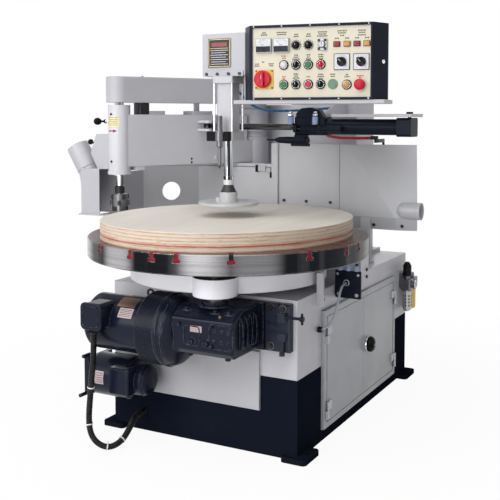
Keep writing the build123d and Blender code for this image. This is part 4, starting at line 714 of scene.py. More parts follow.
# points along a cord's own spline, evenly spaced: length summed step by step, then interpolated
def cordPoints(name, route, count):
    guide = cordCurve(name, route)
    bpy.context.view_layer.update()
    mesh = bpy.data.meshes.new_from_object(guide)
    line = np.zeros(len(mesh.vertices) * 3)
    mesh.vertices.foreach_get("co", line)
    line = line.reshape(-1, 3)
    bpy.data.objects.remove(guide)
    bpy.data.meshes.remove(mesh)
    run = np.concatenate([[0], np.cumsum(np.linalg.norm(np.diff(line, axis=0), axis=1))])
    even = np.linspace(0, run[-1], count)
    return np.stack([np.interp(even, run, line[:, axis]) for axis in range(3)], -1), run[-1]


# directions across a line: a fixed side vector made square to each step of the line
def acrossLine(line, side):
    along = np.gradient(line, axis=0)
    along = along / np.linalg.norm(along, axis=1)[:, None]
    first = np.array(side) - (along @ np.array(side))[:, None] * along
    first = first / np.linalg.norm(first, axis=1)[:, None]
    return along, first, np.cross(along, first)


# ribbed conduit: radius plus a small cosine of the length, carried along its line
conduit = {
    "route": [(-0.326, -0.988, 0.498), (-0.326, -0.988, 0.420), (-0.345, -0.988, 0.260), (-0.360, -0.988, 0.110),
              (-0.332, -0.986, 0.046), (-0.276, -0.964, 0.018), (-0.250, -0.902, 0.034), (-0.262, -0.820, 0.078),
              (-0.288, -0.751, 0.092), (-0.288, -0.685, 0.092)],
    "radius": 0.0121, "rib": 0.0009, "pitch": 0.0064, "rows": 1000, "sides": 20, "ties": (0.28, 0.47, 0.63, 0.72),
    "lock": (0.007, 0.006, 0.006, 0.001, 0.0005), "lockAside": 0.0165, "lockBack": 0.003,
    "band": [(0.0132, -0.0024), (0.0146, -0.0024), (0.0146, 0.0024), (0.0132, 0.0024)]}
line, conduitLong = cordPoints("conduitGuide", conduit["route"], conduit["rows"])
along, first, second = acrossLine(line, (1, 0, 0))
circle = circleLine(1.0, conduit["sides"])
wave = np.cos(np.linspace(0, conduitLong, len(line)) * 2 * math.pi / conduit["pitch"])
wave = conduit["radius"] + conduit["rib"] * wave
outward = first[:, None] * circle[None, :, :1] + second[:, None] * circle[None, :, 1:]
rings = line[:, None] + wave[:, None, None] * outward
conduitPiece = addPiece("ribbedConduit", [ringStack(rings)], "blackHose", "frame", angle=80)
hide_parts("motor_conduit")
tieShapes = []
for share in conduit["ties"]:
    spot = int(share * (len(line) - 1))
    seat = seatOn(line[spot], along[spot], first[spot])
    tieShapes += [put(ringShape(conduit["band"], 28), seat),
                  put(plateShape(*conduit["lock"]), seat, right=conduit["lockAside"], out=-conduit["lockBack"])]
tiePiece = addPiece("conduitTies", tieShapes, "tieNylon")

# the three smooth lines: sensor cable, blue air hose and red harness
softLines = {
    "sensorCable": {"node": "sensor_cable", "radius": 0.005, "finish": "grayCable", "route": [
        (0.508, -0.318, 0.668), (0.508, -0.350, 0.668), (0.508, -0.378, 0.650), (0.507, -0.394, 0.618),
        (0.504, -0.408, 0.580), (0.500, -0.424, 0.548), (0.494, -0.446, 0.520), (0.483, -0.472, 0.502),
        (0.459, -0.485, 0.496)]},
    "airHose": {"node": "air_hose", "radius": 0.006, "finish": "blueHose", "route": [
        (0.0, -0.405, 1.500), (0.0, -0.365, 1.500), (0.012, -0.323, 1.468), (0.036, -0.271, 1.424),
        (0.070, -0.175, 1.408), (0.118, -0.005, 1.410), (0.170, 0.175, 1.420),
        (0.188, 0.310, 1.426), (0.188, 0.420, 1.426)]},
    "redHarness": {"node": "red_harness", "radius": 0.007, "finish": "redCable", "route": [
        (0.122, 0.420, 1.296), (0.122, 0.370, 1.296), (0.146, 0.316, 1.284), (0.200, 0.260, 1.280),
        (0.268, 0.220, 1.276), (0.352, 0.188, 1.276), (0.452, 0.170, 1.280)]},
}
# clip that holds the red harness: blocks as (wide, high, thick, corner, bevel) and the place of each
harnessClip = (((0.034, 0.026, 0.018, 0.004, 0.0015), (0.453, 0.171, 1.272)),
               ((0.010, 0.1266, 0.018, 0.002, 0.001), (0.453, 0.2433, 1.256)),
               ((0.010, 0.012, 0.016, 0.002, 0.001), (0.453, 0.3006, 1.244)))
clipPiece = addPiece("harnessClip", [
    put(plateShape(*size), levelSeat(place)) for size, place in harnessClip], "blackKnob")
for name, cord in softLines.items():
    piece = cordCurve(name, cord["route"], cord["radius"])
    piece.data.materials.append(finish[cord["finish"]])
    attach(piece, "frame")
    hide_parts(cord["node"])
    measured = cordPoints(name + "Guide", cord["route"], 200)[1]
print("cords laid")

# console panel: places are measured along the panel and up from the floor
panel = {"corner": (0.174, -0.573), "turn": 9.6, "behind": 0.009, "columns": (0.146, 0.198, 0.250, 0.302),
         "rows": (1.514, 1.594, 1.674)}
panelTurn = math.radians(panel["turn"])
panelOut = np.array([math.sin(panelTurn), -math.cos(panelTurn), 0])
panelSeat = seatOn(np.array([*panel["corner"], 0]) - panel["behind"] * panelOut, panelOut)
rimSeat = seatOn((*panel["corner"], 0), panelOut)
colA, colB, colC, colD = panel["columns"]
rowLow, rowMiddle, rowHigh = panel["rows"]

amberSpot = (0.410, rowLow - 0.003)
bezel = {"places": [(colB, rowMiddle), (colC, rowMiddle), (colD, rowMiddle), (colA, rowLow), (colB, rowLow),
                    (colC, rowLow), (colD, rowLow), (0.464, rowLow - 0.003), (colA, rowMiddle), amberSpot],
         "profile": [(0.0141, 0), (0.0141, 0.0052), (0.0146, 0.0074), (0.0156, 0.0074), (0.0162, 0.0060), (0.0162, 0)],
         "nut": [(0.0158, 0), (0.0158, 0.0052), (0.0192, 0.0046), (0.0202, 0.0026), (0.0202, 0)],
         "dome": [(0.0136, 0), (0.0136, 0.0075), (0.0125, 0.0098), (0.0098, 0.0115), (0.0055, 0.0125),
                  (0.0012, 0.0128)],
         "blank": [(0.0205, 0), (0.0205, 0.003), (0.0195, 0.004), (0.0012, 0.0042)]}
bezelPiece = addPiece("chromeBezels", spread(ringShape(bezel["profile"]), panelSeat, bezel["places"]), "chromePart")
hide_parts("panel_fittings")
makePieces(panelSeat, {
    "bezelNuts": ("blackKnob", (ringShape(bezel["nut"]), bezel["places"])),
    "whiteLamp": ("whiteLens", (turnedShape(bezel["dome"]), [(colA, rowMiddle)])),
    "amberLamp": ("amberLens", (turnedShape(bezel["dome"]), [amberSpot])),
    "blankDisc": ("blankGreen", (turnedShape(bezel["blank"], 40), [(0.352, rowLow)]))})

# two panel meters: frame, white scale with ticks and a needle above, dark cover below
meter = {"places": (0.060, 0.136), "middle": rowHigh + 0.001, "glass": 0.0118, "scale": 0.0123, "needle": 0.0128,
         "cover": 0.0141, "coverUp": -0.0150, "pivotUp": -0.008, "reach": 0.031, "angles": np.linspace(50, 130, 13)}


def onMeters(right=0.0, up=0.0, out=0.0, turn=0.0):
    return [(across + right, meter["middle"] + up, out, turn) for across in meter["places"]]


tickSpots = [dialSpots(pivot, meter["reach"], meter["angles"], meter["scale"])
             for pivot in onMeters(0, meter["pivotUp"])]
makePieces(panelSeat, {
    "meterCases": ("plateSilver", (plateShape(0.066, 0.058, 0.012, 0.003, 0.001), onMeters()),
                   (borderShape(0.066, 0.058, 0.0022, 0.0012, 0.003), onMeters(out=meter["glass"]))),
    "meterScales": ("paperWhite", (plateShape(0.0612, 0.0300, 0.0006, 0.001, 0.0002),
                                   onMeters(0, 0.0116, meter["glass"]))),
    "meterTicks": ("scaleBlack", (barShape(0.0006, 0.0045), [spot for row in tickSpots for spot in row[::3]]),
                   (barShape(0.0006, 0.0028), [spot for row in tickSpots for spot in row[1::3] + row[2::3]]),
                   (barShape(0.0007, 0.024), onMeters(-0.0095, 0.0085, meter["needle"], 38)),
                   (barShape(0.010, 0.0014), onMeters(0, 0.003, meter["scale"]))),
    "meterCovers": ("meterBlue", (plateShape(0.0612, 0.0232, 0.0024, 0.001, 0.0006),
                                  onMeters(0, meter["coverUp"], meter["glass"])),
                    (socketScrew(0.0032, 0.0012), onMeters(0, meter["coverUp"], meter["cover"])))})

# timer, rectangular lamps whose outlines shrink towards the top, cam plates and the yellow plate of the main switch
timer = {"spot": (0.308, rowHigh), "deep": 0.006, "face": 0.0058,
         "knob": [(0.0125, 0), (0.0125, 0.0085), (0.0105, 0.0100), (0.0012, 0.0100)],
         "ring": [(0.0134, 0), (0.0134, 0.0008), (0.0150, 0.0008), (0.0150, 0)]}
lampRow = {"spots": [(across, rowHigh) for across in (0.368, 0.410, 0.450, 0.490)], "wide": 0.026, "high": 0.020,
           "insets": (0, 0, 0.0012, 0.0034), "heights": (0, 0.005, 0.0072, 0.0082)}
lampLines = [roundLine(lampRow["wide"] - 2 * inset, lampRow["high"] - 2 * inset, 0.002) for inset in lampRow["insets"]]
lampShape = ringStack(lift(lampLines, lampRow["heights"]))
camPlate = {"spots": ((0.389, 1.603), (0.468, 1.602)), "angles": (40, 65, 90, 115, 140)}
camSpots = [mark for spot in camPlate["spots"] for mark in dialSpots(spot, 0.0245, camPlate["angles"], 0.0039)]
mainSpot = (0.062, 1.536)
makePieces(panelSeat, {
    "timerPlate": ("plateSilver", (plateShape(0.040, 0.048, timer["deep"], 0.002, 0.0008), [timer["spot"]]),
                   (turnedShape(timer["knob"]), [(*timer["spot"], timer["deep"])])),
    "timerMarks": ("scaleBlack", (ringShape(timer["ring"]), [(*timer["spot"], timer["face"])]),
                   (barShape(0.0018, 0.012, 0.0006), [(timer["spot"][0], rowHigh + 0.003, 0.016)]),
                   (plateShape(0.011, 0.011, 0.0010, 0.002, 0.0003),
                    cornersOf(timer["spot"], 0.0125, 0.0165, timer["face"]))),
    "redLamps": ("redLens", (lampShape, lampRow["spots"][0::2])),
    "amberLamps": ("amberLens", (lampShape, lampRow["spots"][1::2])),
    "lampFrames": ("blackKnob", (borderShape(0.0285, 0.0225, 0.0016, 0.0036, 0.002), lampRow["spots"])),
    "camPlates": ("plateSilver", (plateShape(0.062, 0.062, 0.004, 0.003, 0.0008), camPlate["spots"])),
    "camMarks": ("scaleBlack", (borderShape(0.066, 0.066, 0.0028, 0.0030, 0.003), camPlate["spots"]),
                 (barShape(0.0011, 0.0042), camSpots)),
    "mainPlate": ("plateYellow", (plateShape(0.080, 0.080, 0.003, 0.004, 0.0008), [mainSpot])),
    "mainScrews": ("blackOxide", (socketScrew(0.0034, 0.0014), cornersOf(mainSpot, 0.0345, 0.0345, 0.003)))})

# legends: rows of short dashes above each control, as (height, count) for each place across
legend = {
    "brown": {
        0.060: ((1.719, 5), (1.7275, 3)), 0.136: ((1.719, 7), (1.7275, 8)),
        0.198: ((1.709, 4), (1.625, 4), (1.617, 6), (1.548, 3), (1.54, 5), (1.7175, 3), (1.6335, 3), (1.5565, 4)),
        0.250: ((1.709, 4), (1.625, 2), (1.617, 4), (1.7175, 3), (1.6335, 3)),
        0.308: ((1.716, 6), (1.708, 8), (1.7245, 7)), 0.389: ((1.718, 6), (1.708, 3), (1.7265, 7)),
        0.470: ((1.718, 5), (1.708, 6), (1.7265, 6)),
        0.302: ((1.625, 4), (1.617, 3), (1.545, 5), (1.537, 3), (1.6335, 4), (1.5535, 4)),
        0.352: ((1.545, 3), (1.5535, 4)), 0.410: ((1.551, 2), (1.543, 4), (1.697, 3)),
        0.030: ((1.6, 3), (1.592, 4)), 0.057: ((1.608, 2),), 0.092: ((1.6, 4), (1.592, 3)), 0.368: ((1.697, 3),),
        0.450: ((1.697, 3),), 0.490: ((1.697, 3),)},
    "red": {
        0.146: ((1.622, 3), (1.6305, 4), (1.546, 3), (1.538, 2)), 0.250: ((1.545, 3),),
        0.464: ((1.546, 5), (1.539, 2))}}
dash = {"wide": 0.0042, "tall": (0.0058, 0.0044), "pitch": 0.0056, "thick": 0.0002, "sunk": -0.00005}
for tone, finishName in (("brown", "legendBrown"), ("red", "legendRed")):
    addPiece(tone + "Legends", [
        put(barShape(dash["wide"], dash["tall"][step % 2], dash["thick"]), panelSeat,
            across + (step - (count - 1) / 2) * dash["pitch"], height, dash["sunk"])
        for across, spots in legend[tone].items() for height, count in spots for step in range(count)], finishName)

# index marks that turn with their knobs: (across, height, proud, length, turn)
indexMarks = {
    "selector_feed": (colB, rowMiddle, 0.021, 0.009, 0), "selector_lock": (colD, rowMiddle, 0.021, 0.009, 0),
    "selector_table": (colB, rowLow, 0.021, 0.009, 0), "selector_press": (colD, rowLow, 0.021, 0.009, 0),
    "cam_switch_left": (0.389, 1.603, 0.026, 0.014, 40), "cam_switch_right": (0.468, 1.602, 0.026, 0.014, 40),
    "speed_knob_left": (colB, rowHigh, 0.022, 0.007, 0), "speed_knob_right": (colC, rowHigh, 0.022, 0.007, 0),
    "main_switch": (0.057, 1.537, 0.034, 0.016, 0)}
for body, (across, height, proud, long, turn) in indexMarks.items():
    spots = dialSpots((across, height), 0.5 * long, [90 + turn], proud - 0.0001)
    makePieces(panelSeat, {body + "Mark": ("paperWhite", (barShape(0.0016, long), spots))}, body)

# speed dials behind the two knobs, trim and screws of the console
speed = {"spots": [(colB, rowHigh), (colC, rowHigh)], "angles": range(225, -46, -27),
         "ring": [(0.0188, 0), (0.0188, 0.0014), (0.0200, 0.0014), (0.0200, 0)],
         "skirt": [(0.0150, 0), (0.0150, 0.0040), (0.0172, 0.0040), (0.0190, 0.0015), (0.0190, 0)]}
speedSpots = [mark for spot in speed["spots"] for mark in dialSpots(spot, 0.0215, speed["angles"], 0)]
makePieces(panelSeat, {
    "speedDials": ("scaleBlack", (ringShape(speed["ring"]), speed["spots"]), (barShape(0.0016, 0.0042), speedSpots)),
    "speedSkirts": ("chromePart", (ringShape(speed["skirt"]), speed["spots"])),
    "panelTrim": ("plateSilver", (borderShape(0.4965, 0.2865, 0.0016, 0.0016, 0.002), [(0.2585, 1.6045)]))})
rimSpots = [(0.018 + share * 0.481, height) for share in (0, 0.25, 0.5, 0.75, 1) for height in (1.4562, 1.7528)]
makePieces(rimSeat, {"rimScrews": ("zincBolt", (socketScrew(0.0030, 0.0014), rimSpots))})

# door knob: a black dome on a chrome flange, with a short raised index
doorCap = {"dome": [(0.0200, 0.0040), (0.0335, 0.0060), (0.0370, 0.0110), (0.0372, 0.0160), (0.0350, 0.0235),
                    (0.0285, 0.0305), (0.0190, 0.0350), (0.0090, 0.0368), (0.0010, 0.0372)],
           "flange": [(0.0300, 0.0005), (0.0345, 0.0005), (0.0360, 0.0020), (0.0350, 0.0060), (0.0300, 0.0060)]}
makePieces(seatOn((0.464, 0.074, 0.305), (1, 0, 0)), {
    "knobDome": ("domeBlack", (turnedShape(doorCap["dome"]), atSeat)),
    "knobFlange": ("chromePart", (ringShape(doorCap["flange"]), atSeat),
                   (plateShape(0.0030, 0.0120, 0.0016, 0.0012, 0.0004), [(0, 0, 0.0362)]))}, "door_knob")

# lock in the console's right side: a turned barrel with a flat key grip
lockBarrel = [(0.0085, -0.001), (0.0085, 0.0028), (0.0070, 0.0040), (0.0012, 0.0040)]
makePieces(seatOn((0.7052, -0.4288, 1.6026), (0.94, -0.345, 0)), {
    "consoleLock": ("chromePart", (turnedShape(lockBarrel), atSeat),
                    (plateShape(0.0030, 0.0105, 0.0025, 0.0008, 0.0004), [(0, 0, 0.0038)]))})
print("console dressed")

# plate on the overarm: dark field, gold border and rule, a red band and lines of two lengths
namePlate = {"face": 0.0007, "rows": [0.011 - 0.0098 * row for row in range(7)], "aside": -0.004}
makePieces(seatOn((-0.020, -0.4895, 1.658), (0, -1, 0)), {
    "plateField": ("scaleBlack", (plateShape(0.112, 0.124, 0.0008, 0.003, 0.0002), atSeat)),
    "plateGold": ("goldInk", (borderShape(0.106, 0.118, 0.0022, 0.0004, 0.003), [(0, 0, namePlate["face"])]),
                  (barShape(0.090, 0.0018), [(0, 0.020, namePlate["face"])])),
    "plateBand": ("redLens", (barShape(0.078, 0.018), [(0, 0.036, namePlate["face"])])),
    "plateLines": ("paperWhite",
                   (barShape(0.088, 0.0025), [(0, up, namePlate["face"]) for up in namePlate["rows"][0::2]]),
                   (barShape(0.074, 0.0025),
                    [(namePlate["aside"], up, namePlate["face"]) for up in namePlate["rows"][1::2]]))})

# bare plates on both motors and the gearbox, each with ruled lines
drive = {"centre": (0, -0.845, 0.519), "axis": (1, 0, 0), "zero": (0, -1, 0), "radius": 0.117}
pump = {**drive, "centre": (0, -0.800, 0.2735), "radius": 0.090}
drum = {**drive, "radius": 0.147, "ribs": 76, "band": (-0.121, -0.041)}
gearSeat = seatOn((0.1375, -0.945, 0.562), (0, -1, 0))
addPiece("motorPlateUpper", [drumPatch(drive, (49, 78), (-0.256, -0.168))], "copperPlate")
addPiece("motorPlateLower", [drumPatch(drive, (25, 46), (-0.234, -0.166))], "pinkPlate")
addPiece("pumpPlate", [drumPatch(pump, (-13, 22), (-0.402, -0.357))], "pinkPlate")
makePieces(gearSeat, {"gearPlate": ("pinkPlate", (plateShape(0.052, 0.025, 0.0008, 0.002, 0.0002), atSeat))})
plateRules = [drumPatch(drive, (28 + 3.4 * row, 29 + 3.4 * row), (-0.228, -0.172), 0.0009, 3) for row in range(5)]
plateRules += [drumPatch(pump, (-8 + 6 * row, -6.6 + 6 * row), (-0.398, -0.361), 0.0009, 3) for row in range(5)]
plateRules += spread(barShape(0.044, 0.0012, 0.0002), gearSeat, [(0, up, 0.0007) for up in (0.007, 0, -0.007)])
addPiece("plateRules", plateRules, "scaleBlack")
starts = np.arange(drum["ribs"]) * 2 * math.pi / drum["ribs"]
addPiece("drumLattice", [
    windingRib(drum, start, drum["band"], way) for start in starts for way in (-1, 1)], "blackIron")

# lid of the terminal box: a raised border and four screws
makePieces(seatOn((-0.3185, -1.019, 0.574), (0, -1, 0)), {
    "lidBorder": ("driveEnamel", (borderShape(0.080, 0.086, 0.0026, 0.0016, 0.010), [(0, 0, -0.0002)])),
    "lidScrews": ("driveEnamel", (socketScrew(0.0042, 0.0022), cornersOf((0, 0), 0.0335, 0.0365)))})

# gear case relief: plugs, rims and bolts on the front, pads and bolts on the sloping top, a collar round the shaft
caseRelief = {"plugs": [(0.119, 0.511), (0.185, 0.511)],
              "boss": [(0.0150, -0.001), (0.0150, 0.0022), (0.0180, 0.0016), (0.0180, -0.001)],
              "bolts": ((0.208, 0.580), (0.292, 0.580), (0.208, 0.500), (0.292, 0.500), (0.060, 0.575)),
              "pads": [(0.070, 0.004), (0.200, 0.004), (0.262, 0.004)],
              "collar": [(0.0525, -0.002), (0.0525, 0.006), (0.064, 0.006), (0.068, 0.003), (0.068, -0.002)],
              "washer": [(0.0118, -0.0005), (0.0118, 0.0030), (0.0165, 0.0030), (0.0180, 0.0015), (0.0180, -0.0005)],
              "washers": ((0.342, 0.466, 0), (0.342, 0.624, 0), (0.404, 0.624, 0.016))}
frontSeat = seatOn((0, -0.945, 0), (0, -1, 0))
slopeSeat = seatOn((0, -0.905, 0.620), (0, -0.447, 0.894))
makePieces(frontSeat, {
    "gearPlugs": ("driveEnamel", (hexShape(0.021, 0.012), [(*spot, 0.004, 12) for spot in caseRelief["plugs"]]),
                  (ringShape(caseRelief["boss"]), caseRelief["plugs"]))})
reliefShapes = [put(borderShape(0.108, 0.100, 0.005, 0.0032, 0.014), frontSeat, 0.250, 0.540, -0.0004),
                put(borderShape(0.076, 0.080, 0.004, 0.0028, 0.016), frontSeat, 0.118, 0.534, -0.0004),
                put(ringShape(caseRelief["collar"], 48), levelSeat((0.1653, -0.845, 0.640)))]
reliefShapes += spread(hexShape(0.013, 0.008), frontSeat, [
    (*spot, 0.003, 17 * step) for step, spot in enumerate(caseRelief["bolts"])])
reliefShapes += spread(plateShape(0.046, 0.020, 0.005, 0.0095, 0.002), slopeSeat, [
    (*spot, -0.001) for spot in caseRelief["pads"]])
reliefShapes += spread(hexShape(0.014, 0.010), slopeSeat, [(*spot, 0.003, 20) for spot in caseRelief["pads"]])
addPiece("caseRelief", reliefShapes, "driveEnamel")
makePieces(slopeSeat, {"oilPlug": ("brassPart", (hexShape(0.011, 0.007), [(0.232, -0.018, -0.001)]))})
makePieces(seatOn((0, -0.709, 0), (0, -1, 0)), {
    "slideWashers": ("toothSteel", (ringShape(caseRelief["washer"]), caseRelief["washers"]))})
print("drive dressed")

# swing arm head: two blank labels, a turning arrow that widens at its tip, and ruled lines
head = {"centre": (-0.664, -0.350, 0), "axis": (0, 0, 1), "zero": (1, 0, 0), "radius": 0.054, "arrowAt": 1.313}
arrowHalf = np.concatenate([np.linspace(0.0002, 0.0085, 8), np.full(12, 0.0030)])
arrowEdges = (head["arrowAt"] - arrowHalf, head["arrowAt"] + arrowHalf)
addPiece("headLabel", [drumPatch(head, (52, 132), (1.331, 1.385), 0.0005)], "labelYellow", "arm")
addPiece("arrowLabel", [drumPatch(head, (54, 130), (1.299, 1.327), 0.0005)], "paperWhite", "arm")
addPiece("arrowMark", [drumPatch(head, (64, 120), arrowEdges, 0.0008)], "arrowRed", "arm")
addPiece("labelRules", [
    drumPatch(head, (62, 122), (1.341 + 0.009 * row, 1.3425 + 0.009 * row), 0.0007, 12) for row in range(5)],
    "legendBrown", "arm")

# dark fittings of the arm: clamp block, screws in the head and the arm, the saddle's bolts and knob, the cover's screws
armWay = (0.3814, 0.9244, 0)
clampBlock = plateShape(0.0585, 0.0565, 0.0565, 0.005, 0.0015)
armScrews = [put(clampBlock, levelSeat((-0.350, 0.411, 0), armWay), 0.008, -0.7002, 1.3928)]
armScrews += spread(socketScrew(0.0058, 0.0035), seatOn(head["centre"], (-0.14, -0.99, 0)),
                    [(0, 1.3938, 0.0535), (0, 1.1653, 0.0535)])
armScrews += spread(socketScrew(0.0055, 0.0012), seatOn((-0.4556, -0.0224, 0), (0.908, -0.419, 0)),
                    [(0, 1.1678, -0.0004), (0, 1.1499, -0.0004)])
armScrews += spread(hexShape(0.010, 0.005), levelSeat((-0.850, -0.380, 0.906)), [(0, 0), (0, 0.100)])
addPiece("armScrews", armScrews, "blackOxide", "arm")
saddleKnob = [(0.006, -0.004), (0.006, 0.006), (0.013, 0.008), (0.0135, 0.018), (0.010, 0.023), (0.0012, 0.024)]
makePieces(seatOn((-0.806, -0.376, 1.255), (-0.97, 0, 0.24)), {
    "saddleKnob": ("blackKnob", (turnedShape(saddleKnob), atSeat))}, "arm")
coverSpots = [(-0.05, -0.72, -0.0002), (0.05, -0.72, -0.0002), (-0.06, -0.3, -0.0002), (0.06, -0.3, -0.0002)]
makePieces(levelSeat((-0.350, 0.411, 1.575), armWay), {
    "coverScrews": ("blackOxide", (socketScrew(0.0055, 0.004), coverSpots))}, "arm")

# swing cylinder: pale sleeves and chrome nuts on its ports, a chrome gland at the rod
thrust = {"seat": levelSeat((0.700, -0.060, 1.335), (-0.0652, -0.9979, 0)), "ports": [(0.442, 0.052), (0.570, 0.052)],
          "sleeve": [(0.0128, 0.010), (0.0138, 0.012), (0.0138, 0.030), (0.0130, 0.031), (0.0138, 0.032),
                     (0.0138, 0.045), (0.0120, 0.0505)],
          "gland": [(0.0195, -0.001), (0.0195, 0.010), (0.0255, 0.010), (0.0285, 0.007), (0.0285, -0.001)],
          "glandAt": 0.556}
makePieces(thrust["seat"], {
    "portSleeves": ("paleBlue", (turnedShape(thrust["sleeve"]), thrust["ports"])),
    "portNuts": ("chromePart", (hexShape(0.0215, 0.010), [(*port, 0.051) for port in thrust["ports"]]),
                 (hexShape(0.0165, 0.006), [(*port, 0.0645) for port in thrust["ports"]]))}, "thrust_cylinder")
rodStart, rodWay = thrust["seat"][0], thrust["seat"][1][0]
makePieces(seatOn(rodStart + thrust["glandAt"] * rodWay, rodWay), {
    "rodGland": ("chromePart", (ringShape(thrust["gland"]), atSeat))}, "thrust_cylinder")

# valve plate: pale sleeves on top, bolts in two rows and an eye on its face
valve = {"sleeve": [(0.0102, 0.720), (0.0108, 0.722), (0.0108, 0.741), (0.0095, 0.7445)],
         "sleeves": [(0.476, 0), (0.514, 0), (0.552, 0)],
         "eye": [(0.0101, 0.002), (0.0101, 0.007), (0.0140, 0.007), (0.0140, 0.002)]}
makePieces(levelSeat((0, -0.304, 0)), {"valveSleeves": ("paleBlue", (turnedShape(valve["sleeve"]), valve["sleeves"]))})
makePieces(seatOn((0, -0.308, 0), (0, -1, 0)), {
    "valveBolts": ("zincBolt", (hexShape(0.015, 0.006), [(0.472, 0.617, -0.0002), (0.554, 0.617, -0.0002)]),
                   (hexShape(0.011, 0.005), [(0.466, 0.704, -0.0002), (0.560, 0.704, -0.0002)]),
                   (ringShape(valve["eye"]), [(0.508, 0.668)]))})

# air unit: gauge with its rim, marks and needle, and rows of black patches round the pierced bowl: painted shade where
# the holes show the dark inside
gauge = {"face": [(0.0180, -0.001), (0.0180, 0.0006), (0.0012, 0.0007)],
         "rim": [(0.0178, -0.002), (0.0178, 0.0020), (0.0198, 0.0020), (0.0208, 0.0008), (0.0208, -0.002)]}
makePieces(seatOn((0.532, 0.600, 0.504), (1, 0, 0)), {
    "gaugeFace": ("paperWhite", (turnedShape(gauge["face"], 40), atSeat)),
    "gaugeRim": ("chromePart", (ringShape(gauge["rim"]), atSeat)),
    "gaugeMarks": ("scaleBlack", (barShape(0.0008, 0.0030), dialSpots((0, 0), 0.0145, range(-45, 226, 27), 0.0006)),
                   (barShape(0.0010, 0.0150), [(-0.003, 0.005, 0.0008, 30)]))})
bowl = {"centre": (0.486, 0.600, 0), "axis": (0, 0, 1), "zero": (1, 0, 0), "radius": 0.023,
        "rows": (0.387, 0.404, 0.421, 0.438)}
addPiece("bowlHoleShade", [drumPatch(bowl, (turn - 9, turn + 9), (low, low + 0.0095), 0.0005, 5)
                       for turn in range(0, 360, 45) for low in bowl["rows"]], "scaleBlack")

# nut where the conduit leaves the terminal box, and the sensor cable's gland in the base
cableGland = [(0.0056, -0.0055), (0.0056, 0.010), (0.0105, 0.010), (0.0130, 0.006), (0.0130, -0.0055)]
makePieces(levelSeat((-0.326, -0.988, 0.504)), {"conduitNut": ("blackKnob", (hexShape(0.042, 0.010), atSeat))})
makePieces(seatOn((0.4596, -0.485, 0.496), (1, 0, 0)), {"cableGland": ("blackKnob", (ringShape(cableGland), atSeat))})
print("small fittings set")

# the chip guard's folded top edge: the line and the same line moved to its left, raised between two heights
guardLip = {"line": ((-0.800, 0.040), (-0.580, 0.250), (-0.126, 0.250)), "thick": 0.003, "low": 1.117, "high": 1.1365}
lipLine = np.array(guardLip["line"])
lipWay = np.diff(lipLine, axis=0)
lipSide = np.stack([-lipWay[:, 1], lipWay[:, 0]], -1) / np.linalg.norm(lipWay, axis=1)[:, None] * guardLip["thick"]
lipSide = np.concatenate([lipSide[:1], lipSide])
lipOutline = np.concatenate([lipLine, (lipLine + lipSide)[::-1]])
addPiece("guardLip", [ringStack(lift([lipOutline, lipOutline], [guardLip["low"], guardLip["high"]]))], "guardSheet")
print("guard lip made")

# cheek plate on the column's left side, closing the view between the pivot hub and the column
makePieces(seatOn((-0.2025, 0.514, 1.262), (0, -1, 0)), {
    "columnCheek": ("grayEnamel", (plateShape(0.205, 0.366, 0.004, 0.004, 0.0008), atSeat))})

# latch on the guard's top edge: two pale blocks and a dark pad at each end, as (across, height, wide, high, deep)
latch = {"seat": seatOn((0, 0.2505, 0), (0, -1, 0)),
         "pale": ((-0.190, 1.112, 0.044, 0.030, 0.010), (-0.153, 1.104, 0.026, 0.026, 0.008)),
         "dark": ((-0.220, 1.111, 0.015, 0.036, 0.011), (-0.136, 1.079, 0.012, 0.030, 0.013))}
for name, tone, finishName in (("latchBlocks", "pale", "paleEnamel"), ("latchPads", "dark", "blackKnob")):
    addPiece(name, [put(plateShape(*size, 0.002, 0.0008), latch["seat"], across, height)
                    for across, height, *size in latch[tone]], finishName)

# plain sleeve over the chute's pipe and collar
chute = {"mouth": (-0.868, -0.330, 1.122), "way": (-0.524, 0, 0.852),
         "profile": [(0.0537, 0.002), (0.0537, 0.1294), (0.0562, 0.1302), (0.0569, 0.1294), (0.0569, 0.002)]}
chuteSeat = seatOn(chute["mouth"], chute["way"], (0, 1, 0))
addPiece("chuteSleeve", [put(ringShape(chute["profile"], 64), chuteSeat)], "paleEnamel", "arm")
print("sheet details made")


# one for rays that come from the camera, a mirror-like surface or a clear one
def seenDirectly(tree):
    light = addNode(tree, "ShaderNodeLightPath")
    indirect = mathOf(tree, "MAXIMUM", light["Is Glossy Ray"], light["Is Transmission Ray"])
    return mathOf(tree, "MAXIMUM", light["Is Camera Ray"], indirect)


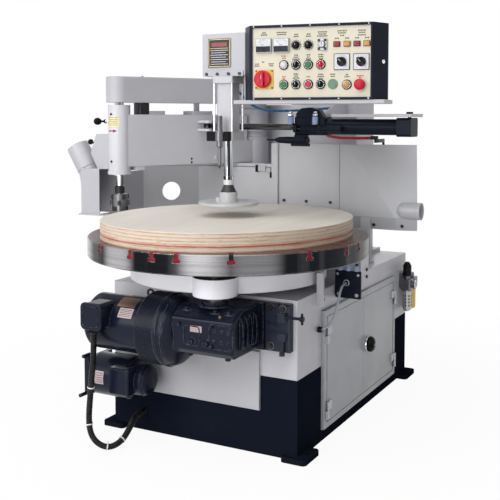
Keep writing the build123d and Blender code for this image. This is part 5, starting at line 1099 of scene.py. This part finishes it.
# floor: plain and pale; the share of plain white grows with the distance from its middle
floor = {"half": 30, "height": -0.001, "corners": ((-1, -1), (1, -1), (1, 1), (-1, 1)), "near": (0.8, 0.93),
         "far": (2.2, 1.0), "tones": ((0.88, 0.88, 0.88), (0.91, 0.91, 0.91))}
tree, shader = newMaterial("paleFloor")
cloud = rangeOf(tree, noiseOf(tree, objectPlace(tree), 3, 3), 0.3, 0.7)
feed(tree, shader, {"Base Color": mixOf(tree, cloud, *[rgba(tone) for tone in floor["tones"]]), "Roughness": 0.8})
reach = vectorOf(tree, "LENGTH", objectPlace(tree))
white = rangeOf(tree, reach, floor["near"][0], floor["far"][0], floor["near"][1], floor["far"][1])
blend = addNode(tree, "ShaderNodeMixShader", {
    "Fac": timesOf(tree, seenDirectly(tree), white), 1: tree.nodes["Principled BSDF"].outputs["BSDF"],
    2: addNode(tree, "ShaderNodeEmission", {"Strength": 1.0})["Emission"]})
feed(tree, tree.nodes["Material Output"].inputs, {"Surface": blend["Shader"]})
floorMesh = bpy.data.meshes.new("floor")
floorMesh.from_pydata([
    (x * floor["half"], y * floor["half"], floor["height"]) for x, y in floor["corners"]], [], [(0, 1, 2, 3)])
floorMesh.materials.append(finish["paleFloor"])
floorObject = addObject("floor", floorMesh)

# backdrop: white where it is seen, weak where it lights
scene.world = bpy.data.worlds.new("studio")
scene.world.use_nodes = True
tree = scene.world.node_tree
feed(tree, tree.nodes["Background"].inputs, {
    "Color": (1, 1, 1, 1), "Strength": rangeOf(tree, seenDirectly(tree), 0, 1, 0.22, 1.0)})

lamps = {
    "keyLamp": {"place": (-1.8, -4.6, 2.4), "aim": (0, -0.3, 0.75), "size": 2.6, "power": 83},
    "frontLamp": {"place": (0.6, -6.4, 0.9), "aim": (0, -0.3, 0.7), "size": 2.6, "power": 78},
    "topLamp": {"place": (0.2, -2.8, 4.4), "aim": (0, 0, 0.8), "size": 5.0, "power": 155},
    "sideLamp": {"place": (4.2, -1.2, 2.2), "aim": (0, 0, 0.8), "size": 2.4, "power": 2},
    "rearLamp": {"place": (-2.6, 4.6, 3.0), "aim": (0, 0, 0.8), "size": 3.0, "power": 75},
}
for name, lamp in lamps.items():
    lampData = bpy.data.lights.new(name, "AREA")
    lampData.size = lamp["size"]
    lampData.energy = lamp["power"]
    lampObject = addObject(name, lampData)
    lampObject.location = lamp["place"]
    aimed = np.array(lamp["aim"]) - np.array(lamp["place"])
    tilt = math.acos(-aimed[2] / np.linalg.norm(aimed))
    lampObject.rotation_euler = (tilt, 0, math.atan2(aimed[1], aimed[0]) - math.pi / 2)
print("stage lit")
